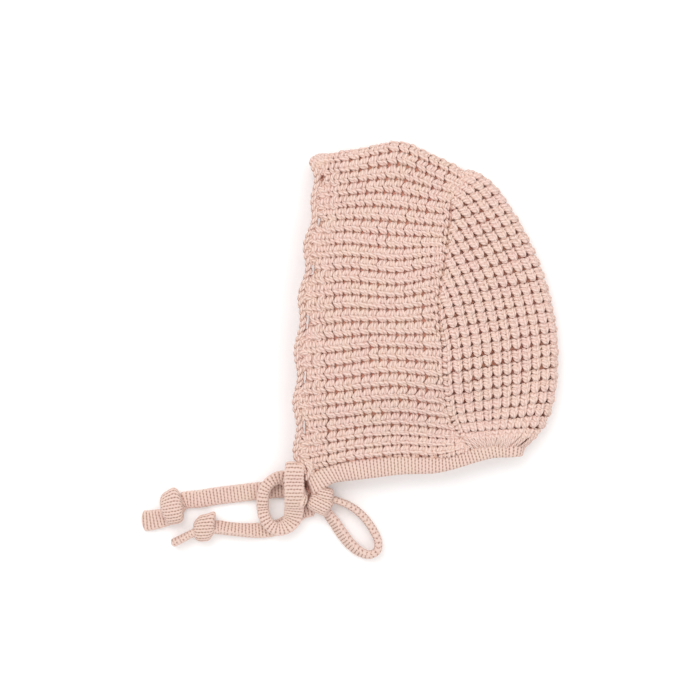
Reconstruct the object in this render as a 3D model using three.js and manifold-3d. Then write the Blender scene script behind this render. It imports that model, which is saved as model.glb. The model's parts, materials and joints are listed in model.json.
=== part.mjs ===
// A chunky knit baby bonnet, lying folded on its side with the face opening towards -X and the neck
// towards -Y. X and Y are the plan that the fabric lies in, and Z is the height above the surface.
// Millimetres. The under layer lies flat, the upper layer rises from the folded edge in a low dome.
import * as THREE from "three";
import { mergeVertices } from "three/addons/utils/BufferGeometryUtils.js";
import Module from "manifold-3d";

const wasm = await Module();
wasm.setup();

// Driving sizes.
const KNIT = 4.6; // thickness of the chunky fabric
const RIB_RISE = 0.7; // how far a rib's crest stands out of the fabric
const BAND = 4; // thickness of the neck band
const EDGING = 3.8; // thickness of the face edging
const FOLD_RADIUS = 5.7; // the folded edge's bend, to the middle of the fabric
const GAP = 0.3; // clearance between neighbouring pieces
const PLAN_SHIFT = 1.85; // moves the plan along Y, so that the fabric lies over the frame's middle
const DOME_RISE = 15; // how far the dome's top is above the folded edge
const DOME_REACH = 68; // how far in from the folded edge the dome goes on rising
const NECK_REACH = 46; // the same from the neck
const FACE_REACH = 48; // the same from the face opening
const FACE_RISE = 0.3; // the share of the rise that the face edge keeps
const KNOT_DIP = 3.6; // how far the upper layer sinks towards the knotted corner
const KNOT_DIP_REACH = 15;
const RIDGE_PITCH = 6.4; // from one ridge of the front panel to the next
const WALE_PITCH = 5.17; // from one wale of the back panel to the next
const UNDER_SETBACK = 4.5; // how far the under layer's face edge lies behind the upper one
const SEAM_ALLOWANCE = 4; // how far each panel is drawn past the seam before it is cut there

const OUTER_FOLD = FOLD_RADIUS + KNIT / 2;
const QUARTER_RIDGES = ((Math.PI / 2) * OUTER_FOLD) / RIDGE_PITCH; // ridges in a quarter of the bend
const QUARTER_WALES = ((Math.PI / 2) * OUTER_FOLD) / WALE_PITCH;
const FOLD_INSET = KNIT / 2 + RIB_RISE; // from the outline to the middle of the fabric
const UNDER_MIDDLE = KNIT / 2; // height of the under layer's middle

const COLOURS = { knit: "#eccbbb", edging: "#eccab9", band: "#e8c6b5", tie: "#e9c7b6" };

// The folded edge over the crown, as the outline seen from above.
const CROWN = [
  { x: -60, y: 80.5 },
  { x: -50, y: 82 },
  { x: -36, y: 84 },
  { x: -23, y: 86.7 },
  { x: -14, y: 88 },
  { x: -6, y: 85.6 },
  { x: 6, y: 79.8 },
  { x: 14, y: 76 },
  { x: 20, y: 73 },
  { x: 27, y: 71.2 },
  { x: 34, y: 66.6 },
];

// The back panel's guide rows. Each row runs from the seam out to the folded edge.
const BACK_ROWS = [
  { row: -4, foldX: 18.9, foldY: 73.6, seamX: 9.5, seamY: 66 },
  { row: -2, foldX: 26.6, foldY: 71.4, seamX: 14.8, seamY: 65 },
  { row: 0, foldX: 34.8, foldY: 65.3, seamX: 12.3, seamY: 56.1 },
  { row: 2, foldX: 42, foldY: 56.1, seamX: 11, seamY: 45.3 },
  { row: 5, foldX: 50.7, foldY: 41.7, seamX: 8.7, seamY: 26.4 },
  { row: 8, foldX: 58.9, foldY: 23.8, seamX: 5.9, seamY: 10.5 },
  { row: 10, foldX: 63, foldY: 11, seamX: 5.5, seamY: 1.3 },
  { row: 14, foldX: 67.1, foldY: -9.5, seamX: 7.4, seamY: -19.7 },
  { row: 17, foldX: 67.6, foldY: -27.4, seamX: 8.2, seamY: -36.6 },
  { row: 20, foldX: 65.5, foldY: -45.3, seamX: 11, seamY: -52 },
  { row: 22, foldX: 60.4, foldY: -58.1, seamX: 15.9, seamY: -61.2 },
  { row: 24, foldX: 51.4, foldY: -67.6, seamX: 22.5, seamY: -68.9 },
];
const GATHER_ROW = 14; // below this row the wales keep their number and draw together

// Where the front panel's guide valleys cross the lines of ACROSS, with the x of the panel's face
// edge and of the seam. Valleys are counted from the folded edge, so the crown's own ridge is 0.
const ACROSS = [-52, -39, -26, -13, 4.5, 20];
const VALLEYS = [
  { ridge: 4.5, edge: -50.6, seam: 12.5, y: [58.1, 59.6, 60.7, 59.9, 56.6, 54.5] },
  { ridge: 7.5, edge: -53.6, seam: 10, y: [40.2, 40.7, 39.4, 38.4, 37.6, 37] },
  { ridge: 10.5, edge: -55.6, seam: 7, y: [21, 21.8, 20.5, 19.7, 23.3, 25] },
  { ridge: 13.5, edge: -57.9, seam: 5.5, y: [0.8, 2, 1.3, 1.3, 3.3, 4] },
  { ridge: 16.5, edge: -59.2, seam: 7.2, y: [-21, -19.7, -17.9, -18.2, -18.7, -19] },
  { ridge: 19.5, edge: -59.8, seam: 8.5, y: [-41.2, -39.7, -37.9, -37.1, -39.2, -40] },
  { ridge: 22.5, edge: -60, seam: 15.5, y: [-60.7, -58.9, -57.1, -56.6, -58.6, -61] },
  { ridge: 25.5, edge: -59.2, seam: 22.5, y: [-78.6, -75.5, -74, -72.4, -73, -69.5] },
];
const CROWN_EDGE = { edge: -52.2, seam: 22.5 }; // the same, on the folded edge

// The line where both panels meet the neck band.
const NECK = [
  { x: -66, y: -83.6 },
  { x: -59, y: -81.4 },
  { x: -51.7, y: -78.6 },
  { x: -39, y: -75.5 },
  { x: -26, y: -74 },
  { x: -13, y: -73 },
  { x: 4.5, y: -73.4 },
  { x: 13.3, y: -72.6 },
  { x: 22.5, y: -69 },
  { x: 36, y: -66.9 },
  { x: 56, y: -67 },
];

// The neck band from the knot back to the nape: how far its upper edge runs below the neck line, where
// its lower edge is, and how far its upper layer lies below the dome.
const BAND_LINES = [
  { topX: -60, below: 9.4, lowX: -49.4, lowY: -90.6, drop: 0.6 },
  { topX: -59.6, below: 4.4, lowX: -48.8, lowY: -88.6, drop: 0.3 },
  { topX: -56.6, below: 0.6, lowX: -47.2, lowY: -87.2, drop: 0 },
  { topX: -48, below: 0.3, lowX: -43.4, lowY: -86.4, drop: 0 },
  { topX: -38, below: 0.3, lowX: -36, lowY: -85.6, drop: 0 },
  { topX: -26, below: 0.3, lowX: -25, lowY: -84.3, drop: 0 },
  { topX: -13, below: 0.3, lowX: -12.5, lowY: -82.8, drop: 0 },
  { topX: 4, below: 0.3, lowX: 4, lowY: -82.2, drop: 0 },
  { topX: 13.4, below: 0.3, lowX: 14.6, lowY: -80, drop: 0 },
  { topX: 22.6, below: 0.3, lowX: 25, lowY: -76.8, drop: 0 },
  { topX: 33, below: 0.3, lowX: 34.5, lowY: -74.4, drop: 0 },
  { topX: 43, below: 0.3, lowX: 42.6, lowY: -74.1, drop: 0 },
];
const NAPE = { x: 51.2, y: -67.6, lowX: 49.6, lowY: -73.8 }; // the band's folded end

// The edging's scallops: one every so many ridges, from the crown down.
const SCALLOP_RIDGES = 3.85;
const FIRST_SCALLOP = 0.7;
const SCALLOPS = 6;
const EDGING_END = 24.5; // the ridge that the edging ends at
const EDGING_WIDTH = 6.9;
const EDGING_GAP = 0.5; // clearance to the panel, across the slope of its edge
const SCALLOP_RISE = 1;
const EYELET = { width: 2, length: 5, sides: 8, across: 0.62 }; // the hole in each valley

// The ties are a flat knitted tape. wide is its width seen square on, and roll turns it about its own
// line, from 0 where it lies flat to 90 where it stands on its edge.
const TAPE_WIDTH = 9.2;
const TAPE_THICK = 3.7;
const STEP = 4.6; // length of a tape's facets

const LEFT_LOOP = [
  { x: -60.9, y: -96.2, z: 7.6, roll: 0, wide: 7.2 },
  { x: -63.4, y: -94.6, z: 7.2, roll: 0, wide: 7.8 },
  { x: -66, y: -91, z: 6.7, roll: 0, wide: 8.6 },
  { x: -69.2, y: -87, z: 6.3, roll: 0, wide: 8.8 },
  { x: -74, y: -84.6, z: 6.6, roll: 0, wide: 7.4 },
  { x: -79.2, y: -86.4, z: 7.3, roll: 0, wide: 6.4 },
  { x: -82.6, y: -90.6, z: 7.3, roll: 0, wide: 6.4 },
  { x: -83.6, y: -95.4, z: 7.2, roll: 0, wide: 6.4 },
  { x: -83.6, y: -100.2, z: 6.4, roll: 0, wide: 6.4 },
  { x: -82.6, y: -104.8, z: 7.2, roll: 0, wide: 6.4 },
  { x: -80.2, y: -108.6, z: 7.6, roll: 0, wide: 6.6 },
  { x: -76.2, y: -110.8, z: 7.5, roll: 0, wide: 7 },
  { x: -71.6, y: -109.6, z: 7.3, roll: 0, wide: 8 },
  { x: -68.6, y: -106, z: 7.3, roll: 0, wide: 9.6 },
  { x: -67.5, y: -101, z: 9.6, roll: 0, wide: 10.2 },
  { x: -67.4, y: -96, z: 13.2, roll: 0, wide: 10.2 },
  { x: -67.4, y: -91, z: 14.9, roll: 0, wide: 10.2 },
  { x: -67.4, y: -85.6, z: 15, roll: 0, wide: 10.2 },
  { x: -67.3, y: -81, z: 14.8, roll: 0, wide: 10.2 },
  { x: -67.2, y: -79.2, z: 12.6, roll: 0, wide: 9.6 },
  { x: -67, y: -81.4, z: 10.5, roll: 0, wide: 8.8 },
  { x: -66.6, y: -86.4, z: 10.5, roll: 0, wide: 8.8 },
  { x: -65.8, y: -91.4, z: 11.1, roll: 0, wide: 8.2 },
  { x: -63.8, y: -95.6, z: 12.1, roll: 0, wide: 7.4 },
  { x: -60.9, y: -96.8, z: 12.5, roll: 0, wide: 7.2 },
];
const RIGHT_LOOP = [
  { x: -47.5, y: -95.9, z: 4.9, roll: 90, wide: 8.6 },
  { x: -44.4, y: -96.8, z: 4.8, roll: 90, wide: 8.8 },
  { x: -40, y: -98.6, z: 4.8, roll: 90, wide: 9 },
  { x: -35.3, y: -101.6, z: 4.8, roll: 90, wide: 9 },
  { x: -30.7, y: -106.2, z: 4.8, roll: 90, wide: 9 },
  { x: -26.8, y: -111.9, z: 4.8, roll: 90, wide: 9 },
  { x: -24.4, y: -117.8, z: 4.8, roll: 90, wide: 9 },
  { x: -25.2, y: -122.4, z: 4.8, roll: 90, wide: 9 },
  { x: -29, y: -124.2, z: 4.8, roll: 86, wide: 9 },
  { x: -33.8, y: -122.6, z: 4.8, roll: 80, wide: 8.8 },
  { x: -38.6, y: -118.8, z: 4.7, roll: 74, wide: 8.6 },
  { x: -42.8, y: -113.6, z: 4.6, roll: 70, wide: 8.4 },
  { x: -46.4, y: -108.2, z: 4.6, roll: 70, wide: 8.2 },
  { x: -49, y: -104.8, z: 4.6, roll: 70, wide: 8 },
];
const UPPER_TAIL = [
  { x: -61, y: -95.2, z: 2.6, roll: 0, wide: 7.2 },
  { x: -65.4, y: -92.4, z: 2.3, roll: 0, wide: 8.6 },
  { x: -71, y: -90.7, z: 2.1, roll: 0, wide: 9.2 },
  { x: -78, y: -90.8, z: 2.1, roll: 0, wide: 9.2 },
  { x: -86.5, y: -91.6, z: 2.1, roll: 0, wide: 9.2 },
  { x: -97, y: -92.9, z: 2.1, roll: 0, wide: 9.2 },
  { x: -107.5, y: -94.2, z: 2.1, roll: 0, wide: 9.2 },
  { x: -116, y: -95.6, z: 2.1, roll: 0, wide: 9.2 },
  { x: -124.9, y: -96.9, z: 2.2, roll: 0, wide: 9 },
];
const LOWER_TAIL = [
  { x: -59.1, y: -101.9, z: 2.9, roll: 0, wide: 6.4 },
  { x: -63.4, y: -103, z: 2.8, roll: 0, wide: 6.8 },
  { x: -68.2, y: -106, z: 2.5, roll: 0, wide: 7.8 },
  { x: -73.4, y: -109.2, z: 2.3, roll: 0, wide: 8.4 },
  { x: -79.9, y: -111.2, z: 2.3, roll: 0, wide: 8.4 },
  { x: -86.5, y: -111.8, z: 2.9, roll: 12, wide: 8 },
  { x: -93, y: -111.6, z: 3.9, roll: 34, wide: 7.6 },
  { x: -100, y: -111, z: 4.3, roll: 42, wide: 7.6 },
  { x: -106.8, y: -110.2, z: 4.1, roll: 36, wide: 7.8 },
];

// The knots, each a soft lump: its middle, half sizes and turn about Z in degrees.
const BOW_KNOT = { x: -54, y: -97, z: 7.2, halfX: 5.6, halfY: 5.9, halfZ: 6.9, turn: -14 };
const UPPER_KNOT = { x: -130.3, y: -99.8, z: 5.4, halfX: 5.6, halfY: 9.2, halfZ: 5.2, turn: 4 };
const LOWER_KNOT = { x: -113.1, y: -109.6, z: 5.4, halfX: 5.8, halfY: 7.6, halfZ: 5.2, turn: -16 };
const UPPER_FLAP = [
  { x: -131, y: -104, z: 3, roll: 0, wide: 9 },
  { x: -136, y: -105.6, z: 2.5, roll: 0, wide: 10 },
  { x: -141, y: -106.6, z: 2.2, roll: 0, wide: 10.6 },
  { x: -145.8, y: -107, z: 2.1, roll: 0, wide: 10.8 },
];
const LOWER_FLAP = [
  { x: -116, y: -111.6, z: 5, roll: 90, wide: 8 },
  { x: -121, y: -113.8, z: 4.7, roll: 84, wide: 8.6 },
  { x: -126, y: -116.4, z: 4.7, roll: 80, wide: 8.6 },
  { x: -130.6, y: -118.6, z: 4.7, roll: 80, wide: 8.4 },
];

const clamp = (value, low, high) => Math.min(Math.max(value, low), high);
const lerp = (a, b, share) => a + (b - a) * share;
const radians = (degrees) => (degrees * Math.PI) / 180;

// A smooth function through [at, value] pairs, straight beyond both ends.
function through(knots) {
  const slope = (i) => {
    const before = knots[Math.max(i - 1, 0)];
    const after = knots[Math.min(i + 1, knots.length - 1)];
    return (after[1] - before[1]) / (after[0] - before[0]);
  };
  return (at) => {
    const next = knots.findIndex((knot) => knot[0] > at);
    const i = clamp(next < 0 ? knots.length - 2 : next - 1, 0, knots.length - 2);
    const [from, start] = knots[i];
    const [to, end] = knots[i + 1];
    const t = (at - from) / (to - from);
    if (t < 0) return start + slope(i) * (at - from);
    if (t > 1) return end + slope(i + 1) * (at - to);
    const bend = t * t * (3 - 2 * t);
    const pull = t * (1 - t) * (to - from);
    return lerp(start, end, bend) + pull * ((1 - t) * slope(i) - t * slope(i + 1));
  };
}

const column = (rows, by, name) => through(rows.map((r) => [r[by], r[name]]));

const crownY = column(CROWN, "x", "y");
const neckY = column(NECK, "x", "y");
const backRow = Object.fromEntries(
  ["foldX", "foldY", "seamX", "seamY"].map((name) => [name, column(BACK_ROWS, "row", name)]),
);

// The whole folded edge as a line in plan, for measuring how far in a point lies.
const FOLD_LINE = [
  ...CROWN.filter((p) => p.x < 20).map((p) => [p.x, p.y]),
  ...BACK_ROWS.filter((r) => r.row >= -2).map((r) => [r.foldX, r.foldY]),
];

function distanceToFold(x, y) {
  let least = Infinity;
  for (let i = 1; i < FOLD_LINE.length; i++) {
    const [ax, ay] = FOLD_LINE[i - 1];
    const [bx, by] = FOLD_LINE[i];
    const [dx, dy] = [bx - ax, by - ay];
    const t = clamp(((x - ax) * dx + (y - ay) * dy) / (dx * dx + dy * dy), 0, 1);
    least = Math.min(least, Math.hypot(x - ax - t * dx, y - ay - t * dy));
  }
  return least;
}

const faceX = through(VALLEYS.map((r) => [-r.y[0], r.edge]));
const swell = (distance, reach) => Math.sin((Math.PI / 2) * clamp(distance / reach, 0, 1)) ** 2;

// Height of the upper layer's middle above the surface.
function height(x, y) {
  const inside = swell(distanceToFold(x, y) - OUTER_FOLD, DOME_REACH);
  const overNeck = swell(y - neckY(x), NECK_REACH);
  const fromFace = lerp(FACE_RISE, 1, swell(x - faceX(-y), FACE_REACH));
  const corner = Math.hypot(x - BOW_KNOT.x, y - BOW_KNOT.y - BOW_KNOT.halfY) / KNOT_DIP_REACH;
  const dip = KNOT_DIP * Math.exp(-corner * corner);
  return UNDER_MIDDLE + 2 * FOLD_RADIUS + DOME_RISE * inside * overNeck * fromFace - dip;
}

// Where the middle of the fabric is on the bend of the folded edge, for a turn from -90 degrees at
// the under layer to 90 at the upper one: how far in from the outline, and how high.
const bend = (turn) => ({
  inset: FOLD_INSET + FOLD_RADIUS * (1 - Math.cos(turn)),
  z: UNDER_MIDDLE + FOLD_RADIUS * (1 + Math.sin(turn)),
});

// The y of a front panel's ridge line at x, counted from the folded edge.
function ridgeY(x, ridge) {
  const i = clamp(ACROSS.findIndex((at) => at > x) - 1, 0, ACROSS.length - 2);
  const last = x >= ACROSS.at(-1) ? ACROSS.length - 2 : i;
  const share = (x - ACROSS[last]) / (ACROSS[last + 1] - ACROSS[last]);
  const top = [QUARTER_RIDGES, crownY(x) - FOLD_INSET - FOLD_RADIUS];
  return through([top, ...VALLEYS.map((r) => [r.ridge, lerp(r.y[last], r.y[last + 1], share)])])(ridge);
}

const edgeOf = through([[0, CROWN_EDGE.edge], ...VALLEYS.map((r) => [r.ridge, r.edge])]);
const seamOf = through([[0, CROWN_EDGE.seam], ...VALLEYS.map((r) => [r.ridge, r.seam])]);

// The under layer's face edge slips back from the fold on.
const setback = (ridge) => (ridge < 0 ? UNDER_SETBACK * clamp(-ridge / 4, 0, 1) : 0);

// The middle of the fabric at x on a ridge line, which is negative on the under layer.
function frontAt(x, ridge) {
  const side = Math.abs(ridge);
  if (side <= QUARTER_RIDGES) {
    const { inset, z } = bend(((Math.PI / 2) * ridge) / QUARTER_RIDGES);
    return new THREE.Vector3(x, crownY(x) - inset, z);
  }
  const y = ridgeY(x, side);
  return new THREE.Vector3(x, y, ridge < 0 ? UNDER_MIDDLE : height(x, y));
}

// The same by the share of the way from the face edge to the seam.
function frontMiddle(ridge, share) {
  const side = Math.abs(ridge);
  return frontAt(lerp(edgeOf(side) + setback(ridge), seamOf(side) + SEAM_ALLOWANCE, share), ridge);
}

// The middle of the fabric on a back panel's row, by wales from the folded edge.
function backMiddle(wale, row) {
  const fold = new THREE.Vector3(backRow.foldX(row), backRow.foldY(row), 0);
  const inward = new THREE.Vector3(backRow.seamX(row), backRow.seamY(row), 0).sub(fold);
  const length = inward.length();
  inward.normalize();
  const flat = length - FOLD_INSET - FOLD_RADIUS;
  const gathered = backRowWales(Math.max(row, GATHER_ROW)) - QUARTER_WALES;
  const pitch = row > GATHER_ROW ? flat / gathered : WALE_PITCH;
  const side = Math.abs(wale);
  if (side <= QUARTER_WALES) {
    const { inset, z } = bend(((Math.PI / 2) * wale) / QUARTER_WALES);
    return fold.addScaledVector(inward, inset).setZ(z);
  }
  const end = QUARTER_WALES + flat / pitch + SEAM_ALLOWANCE / WALE_PITCH;
  const beyond = Math.max(side - end, 0);
  const reach = (side - beyond * 0.97 - QUARTER_WALES) * pitch;
  fold.addScaledVector(inward, FOLD_INSET + FOLD_RADIUS + reach);
  return fold.setZ(wale < 0 ? UNDER_MIDDLE : height(fold.x, fold.y));
}

// The wales in a row, from the folded edge to the seam. They are fewest at the crown.
function backRowWales(row) {
  const at = Math.min(row, GATHER_ROW);
  const run = Math.hypot(backRow.foldX(at) - backRow.seamX(at), backRow.foldY(at) - backRow.seamY(at));
  return QUARTER_WALES + (run - FOLD_INSET - FOLD_RADIUS) / WALE_PITCH;
}

// The neck band's middle: along it by lines of BAND_LINES from its folded end, where line 0 is the end
// itself and the under layer's lines are negative, and across it from 0 to 1.
const BAND_FROM_NAPE = BAND_LINES.toReversed();

function bandMiddle(line, across) {
  const side = Math.abs(line);
  const at = Math.max(side - 1, 0);
  const pick = (name) => through(BAND_FROM_NAPE.map((r, i) => [i, r[name]]))(at);
  const x = lerp(pick("topX"), pick("lowX"), across);
  const y = lerp(neckY(pick("topX")) - pick("below"), pick("lowY"), across);
  if (side >= 1) {
    const z = line < 0 ? BAND / 2 : height(x, Math.max(y, neckY(x))) - pick("drop");
    return new THREE.Vector3(x, y, z);
  }
  const turn = (Math.PI / 2) * line;
  const tipX = lerp(NAPE.x, NAPE.lowX, across) - BAND / 2;
  const tipY = lerp(NAPE.y, NAPE.lowY, across);
  const low = BAND / 2;
  const high = height(x, Math.max(y, neckY(x)));
  const round = Math.cos(turn);
  return new THREE.Vector3(
    lerp(x, tipX, round),
    lerp(y, tipY, round),
    (low + high) / 2 + ((high - low) / 2) * Math.sin(turn),
  );
}

// The edging's middle: across from 0 at the scalloped edge to 1 at the panel.
function edgingMiddle(ridge, across) {
  const side = Math.abs(ridge);
  const phase = (2 * Math.PI * (side - FIRST_SCALLOP)) / SCALLOP_RIDGES;
  const width = EDGING_WIDTH + SCALLOP_RISE * Math.cos(phase) - EDGING_GAP;
  const x = edgeOf(side) + setback(ridge) - EDGING_GAP - (1 - across) * width;
  const middle = frontAt(x, ridge);
  if (ridge < -QUARTER_RIDGES) middle.z = EDGING / 2;
  return middle;
}

// A closed geometry from a grid of outer points and the inner points behind them.
function shell(outer, inner) {
  const [rows, columns] = [outer.length, outer[0].length];
  const points = [...outer.flat(), ...inner.flat()];
  const at = (side, i, j) => side * rows * columns + i * columns + j;
  const faces = [];
  const quad = (a, b, c, d) => faces.push(a, b, c, a, c, d);
  for (let i = 0; i + 1 < rows; i++)
    for (let j = 0; j + 1 < columns; j++) {
      quad(at(0, i, j), at(0, i + 1, j), at(0, i + 1, j + 1), at(0, i, j + 1));
      quad(at(1, i, j), at(1, i, j + 1), at(1, i + 1, j + 1), at(1, i + 1, j));
    }
  for (let i = 0; i + 1 < rows; i++) {
    quad(at(0, i, 0), at(1, i, 0), at(1, i + 1, 0), at(0, i + 1, 0));
    quad(at(0, i + 1, columns - 1), at(1, i + 1, columns - 1), at(1, i, columns - 1), at(0, i, columns - 1));
  }
  for (let j = 0; j + 1 < columns; j++) {
    quad(at(0, 0, j + 1), at(1, 0, j + 1), at(1, 0, j), at(0, 0, j));
    quad(at(0, rows - 1, j), at(1, rows - 1, j), at(1, rows - 1, j + 1), at(0, rows - 1, j + 1));
  }
  const geometry = new THREE.BufferGeometry().setFromPoints(points);
  return geometry.setIndex(faces);
}

// A wall of fabric over middle(u, v), for each u of across and each v of down. Its outer face stands
// rise(u, v) further out, and the under layer rests on the surface.
function wall(middle, across, down, thickness, rise) {
  const reach = 0.05;
  const side = (u, v, out) => {
    const along = middle(u + reach, v).sub(middle(u - reach, v));
    const normal = along.cross(middle(u, v + reach).sub(middle(u, v - reach))).normalize();
    const point = middle(u, v).addScaledVector(normal, out);
    return point.setZ(Math.max(point.z, 0));
  };
  const outer = across.map((u) => down.map((v) => side(u, v, thickness / 2 + rise(u, v))));
  const inner = across.map((u) => down.map((v) => side(u, v, -thickness / 2)));
  return shell(outer, inner);
}

const steps = (from, to, count) => Array.from({ length: count + 1 }, (_, i) => lerp(from, to, i / count));

function solidOf(geometry) {
  const bare = new THREE.BufferGeometry().setAttribute("position", geometry.getAttribute("position"));
  const merged = mergeVertices(bare.setIndex(geometry.index), 1e-4);
  const mesh = new wasm.Mesh({
    numProp: 3,
    vertProperties: merged.attributes.position.array,
    triVerts: new Uint32Array(merged.index.array),
  });
  return new wasm.Manifold(mesh);
}

function geometryOf(solid) {
  const { vertProperties, triVerts } = solid.getMesh();
  const geometry = new THREE.BufferGeometry();
  geometry.setAttribute("position", new THREE.BufferAttribute(new Float32Array(vertProperties), 3));
  return geometry.setIndex(new THREE.BufferAttribute(new Uint32Array(triVerts), 1));
}

// An upright prism over a closed plan outline, from one height to another.
function prism(outline, low, high) {
  const shape = new THREE.Shape(outline.map(([x, y]) => new THREE.Vector2(x, y)));
  const geometry = new THREE.ExtrudeGeometry(shape, { depth: high - low, bevelEnabled: false });
  return solidOf(geometry.translate(0, 0, low));
}

// The seam in plan, from past the folded edge at the crown down to the neck.
const SEAM_LINE = [
  [26, 92],
  [22.5, 72.8],
  ...BACK_ROWS.filter((r) => r.row >= -2).map((r) => [r.seamX, r.seamY]),
];
const OUTSIDE = 100;
const HIGH = 60;
const DEEP = -5;

// The block that keeps one panel's side of the seam, above the neck band.
function panelRegion(front) {
  const shift = front ? -GAP / 2 : GAP / 2;
  const seam = SEAM_LINE.map(([x, y]) => [x + shift, y]);
  const corner = NECK.findIndex((p) => p.x === BACK_ROWS.at(-1).seamX);
  const neck = front ? NECK.slice(0, corner).reverse() : NECK.slice(corner + 1);
  const hem = neck.map((p) => [p.x, p.y + GAP / 2]);
  const far = front ? -OUTSIDE : OUTSIDE;
  return prism([...seam, ...hem, [far, hem.at(-1)[1]], [far, OUTSIDE]], DEEP, HIGH);
}

function frontPanel() {
  const upper = steps(0, 26, 52);
  const under = [-26, -22.5, -19.5, -16.5, -13.5, -10.5, -8.5, -7, -5.5, -4, -3, -2, -1.5, -1, -0.5];
  const rise = (ridge) => (ridge > -1 ? RIB_RISE * Math.cos(2 * Math.PI * ridge) : 0);
  const panel = wall(frontMiddle, [...under, ...upper], steps(0, 1, 12), KNIT, rise);
  return geometryOf(solidOf(panel).intersect(panelRegion(true)));
}

function backPanel() {
  const widest = Math.ceil(backRowWales(GATHER_ROW)) + 1;
  const upper = steps(0, widest, 2 * widest);
  const under = [-widest, -11, -8.5, -6, -4, -2.5, -2, -1.5, -1, -0.5];
  const rows = [-4, -2, 0, 2, 5, 8, 10, 12, 14, 17, 20, 22, 24, 24.6];
  const rise = (wale) => (wale > -1 ? RIB_RISE * Math.cos(2 * Math.PI * wale) : 0);
  const panel = wall(backMiddle, [...under, ...upper], rows, KNIT, rise);
  return geometryOf(solidOf(panel).intersect(panelRegion(false)));
}

function neckBand() {
  const lines = BAND_LINES.length;
  const turn = steps(-0.75, 0.75, 6);
  const along = [...steps(-lines, -1, lines - 1), ...turn, ...steps(1, lines, lines - 1)];
  return wall(bandMiddle, along, [0, 0.5, 1], BAND, () => 0);
}

function eyelet(ridge) {
  const middle = edgingMiddle(ridge, EYELET.across);
  const outline = steps(0, 360, EYELET.sides)
    .slice(0, -1)
    .map((turn) => [
      middle.x + (EYELET.width / 2) * Math.cos(radians(turn)),
      middle.y + (EYELET.length / 2) * Math.sin(radians(turn)),
    ]);
  const parting = UNDER_MIDDLE + FOLD_RADIUS;
  return ridge > 0 ? prism(outline, parting, HIGH) : prism(outline, DEEP, parting);
}

function faceEdging() {
  const along = steps(-EDGING_END, EDGING_END, 4 * EDGING_END);
  const bulge = (ridge, across) => (ridge < -1 ? 0 : 0.4 - 1.6 * (across - 0.5) ** 2);
  let edging = solidOf(wall(edgingMiddle, along, [0, 0.5, 1], EDGING, bulge));
  for (let scallop = 0; scallop < SCALLOPS; scallop++) {
    const valley = FIRST_SCALLOP + SCALLOP_RIDGES * (scallop + 0.5);
    edging = edging.subtract(eyelet(valley)).subtract(eyelet(-valley));
  }
  return geometryOf(edging);
}

// The line of a tape, whose frames carry its roll and its width.
class TapeLine extends THREE.CatmullRomCurve3 {
  constructor(route) {
    super(
      route.map((p) => new THREE.Vector3(p.x, p.y, p.z)),
      false,
      "centripetal",
    );
    this.route = route;
  }

  computeFrenetFrames(count) {
    const frames = { tangents: [], normals: [], binormals: [] };
    const side = new THREE.Vector3();
    for (let i = 0; i <= count; i++) {
      const tangent = this.getTangentAt(i / count);
      const t = this.getUtoTmapping(i / count) * (this.route.length - 1);
      const at = Math.min(Math.floor(t), this.route.length - 2);
      const [from, to] = [this.route[at], this.route[at + 1]];
      const roll = radians(lerp(from.roll, to.roll, t - at));
      const wide = lerp(from.wide, to.wide, t - at);
      const thick = (TAPE_WIDTH * TAPE_THICK) / wide;
      const flat = new THREE.Vector3(tangent.x, tangent.y, 0);
      if (flat.length() > 0.35) side.set(-flat.y, flat.x, 0).normalize();
      side.addScaledVector(tangent, -side.dot(tangent)).normalize();
      const up = new THREE.Vector3().crossVectors(tangent, side).normalize();
      const across = side.clone().applyAxisAngle(tangent, roll);
      up.applyAxisAngle(tangent, roll);
      frames.tangents.push(tangent);
      frames.normals.push(across.multiplyScalar(wide / 2));
      frames.binormals.push(up.multiplyScalar(thick / 2));
    }
    return frames;
  }
}

// A tape along a route: an eight-sided section, as a share of the half width and half thickness.
function tape(route) {
  const line = new TapeLine(route);
  const quarter = [
    [1, 0.4],
    [0.75, 1],
  ];
  const half = [...quarter, ...quarter.toReversed().map(([across, up]) => [-across, up])];
  const whole = [...half, ...half.map(([across, up]) => [-across, -up])];
  const section = new THREE.Shape(whole.map(([across, up]) => new THREE.Vector2(across, up)));
  const count = Math.ceil(line.getLength() / STEP);
  return new THREE.ExtrudeGeometry(section, { steps: count, extrudePath: line });
}

// A soft lump: a sphere drawn out towards a rounded box.
function lump({ x, y, z, halfX, halfY, halfZ, turn }) {
  const geometry = new THREE.SphereGeometry(1, 12, 8);
  const position = geometry.getAttribute("position");
  const square = (value) => Math.sign(value) * Math.abs(value) ** 0.7;
  for (let i = 0; i < position.count; i++)
    position.setXYZ(
      i,
      square(position.getX(i)) * halfX,
      square(position.getY(i)) * halfY,
      square(position.getZ(i)) * halfZ,
    );
  return geometry.rotateZ(radians(turn)).translate(x, y, z);
}

function endKnot(knot, flap) {
  return geometryOf(solidOf(lump(knot)).add(solidOf(tape(flap))));
}

function piece(name, geometry, colour) {
  const material = new THREE.MeshStandardMaterial({ color: colour, roughness: 0.95, metalness: 0 });
  const mesh = new THREE.Mesh(geometry.translate(0, PLAN_SHIFT, 0), material);
  mesh.name = name;
  return mesh;
}

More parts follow.
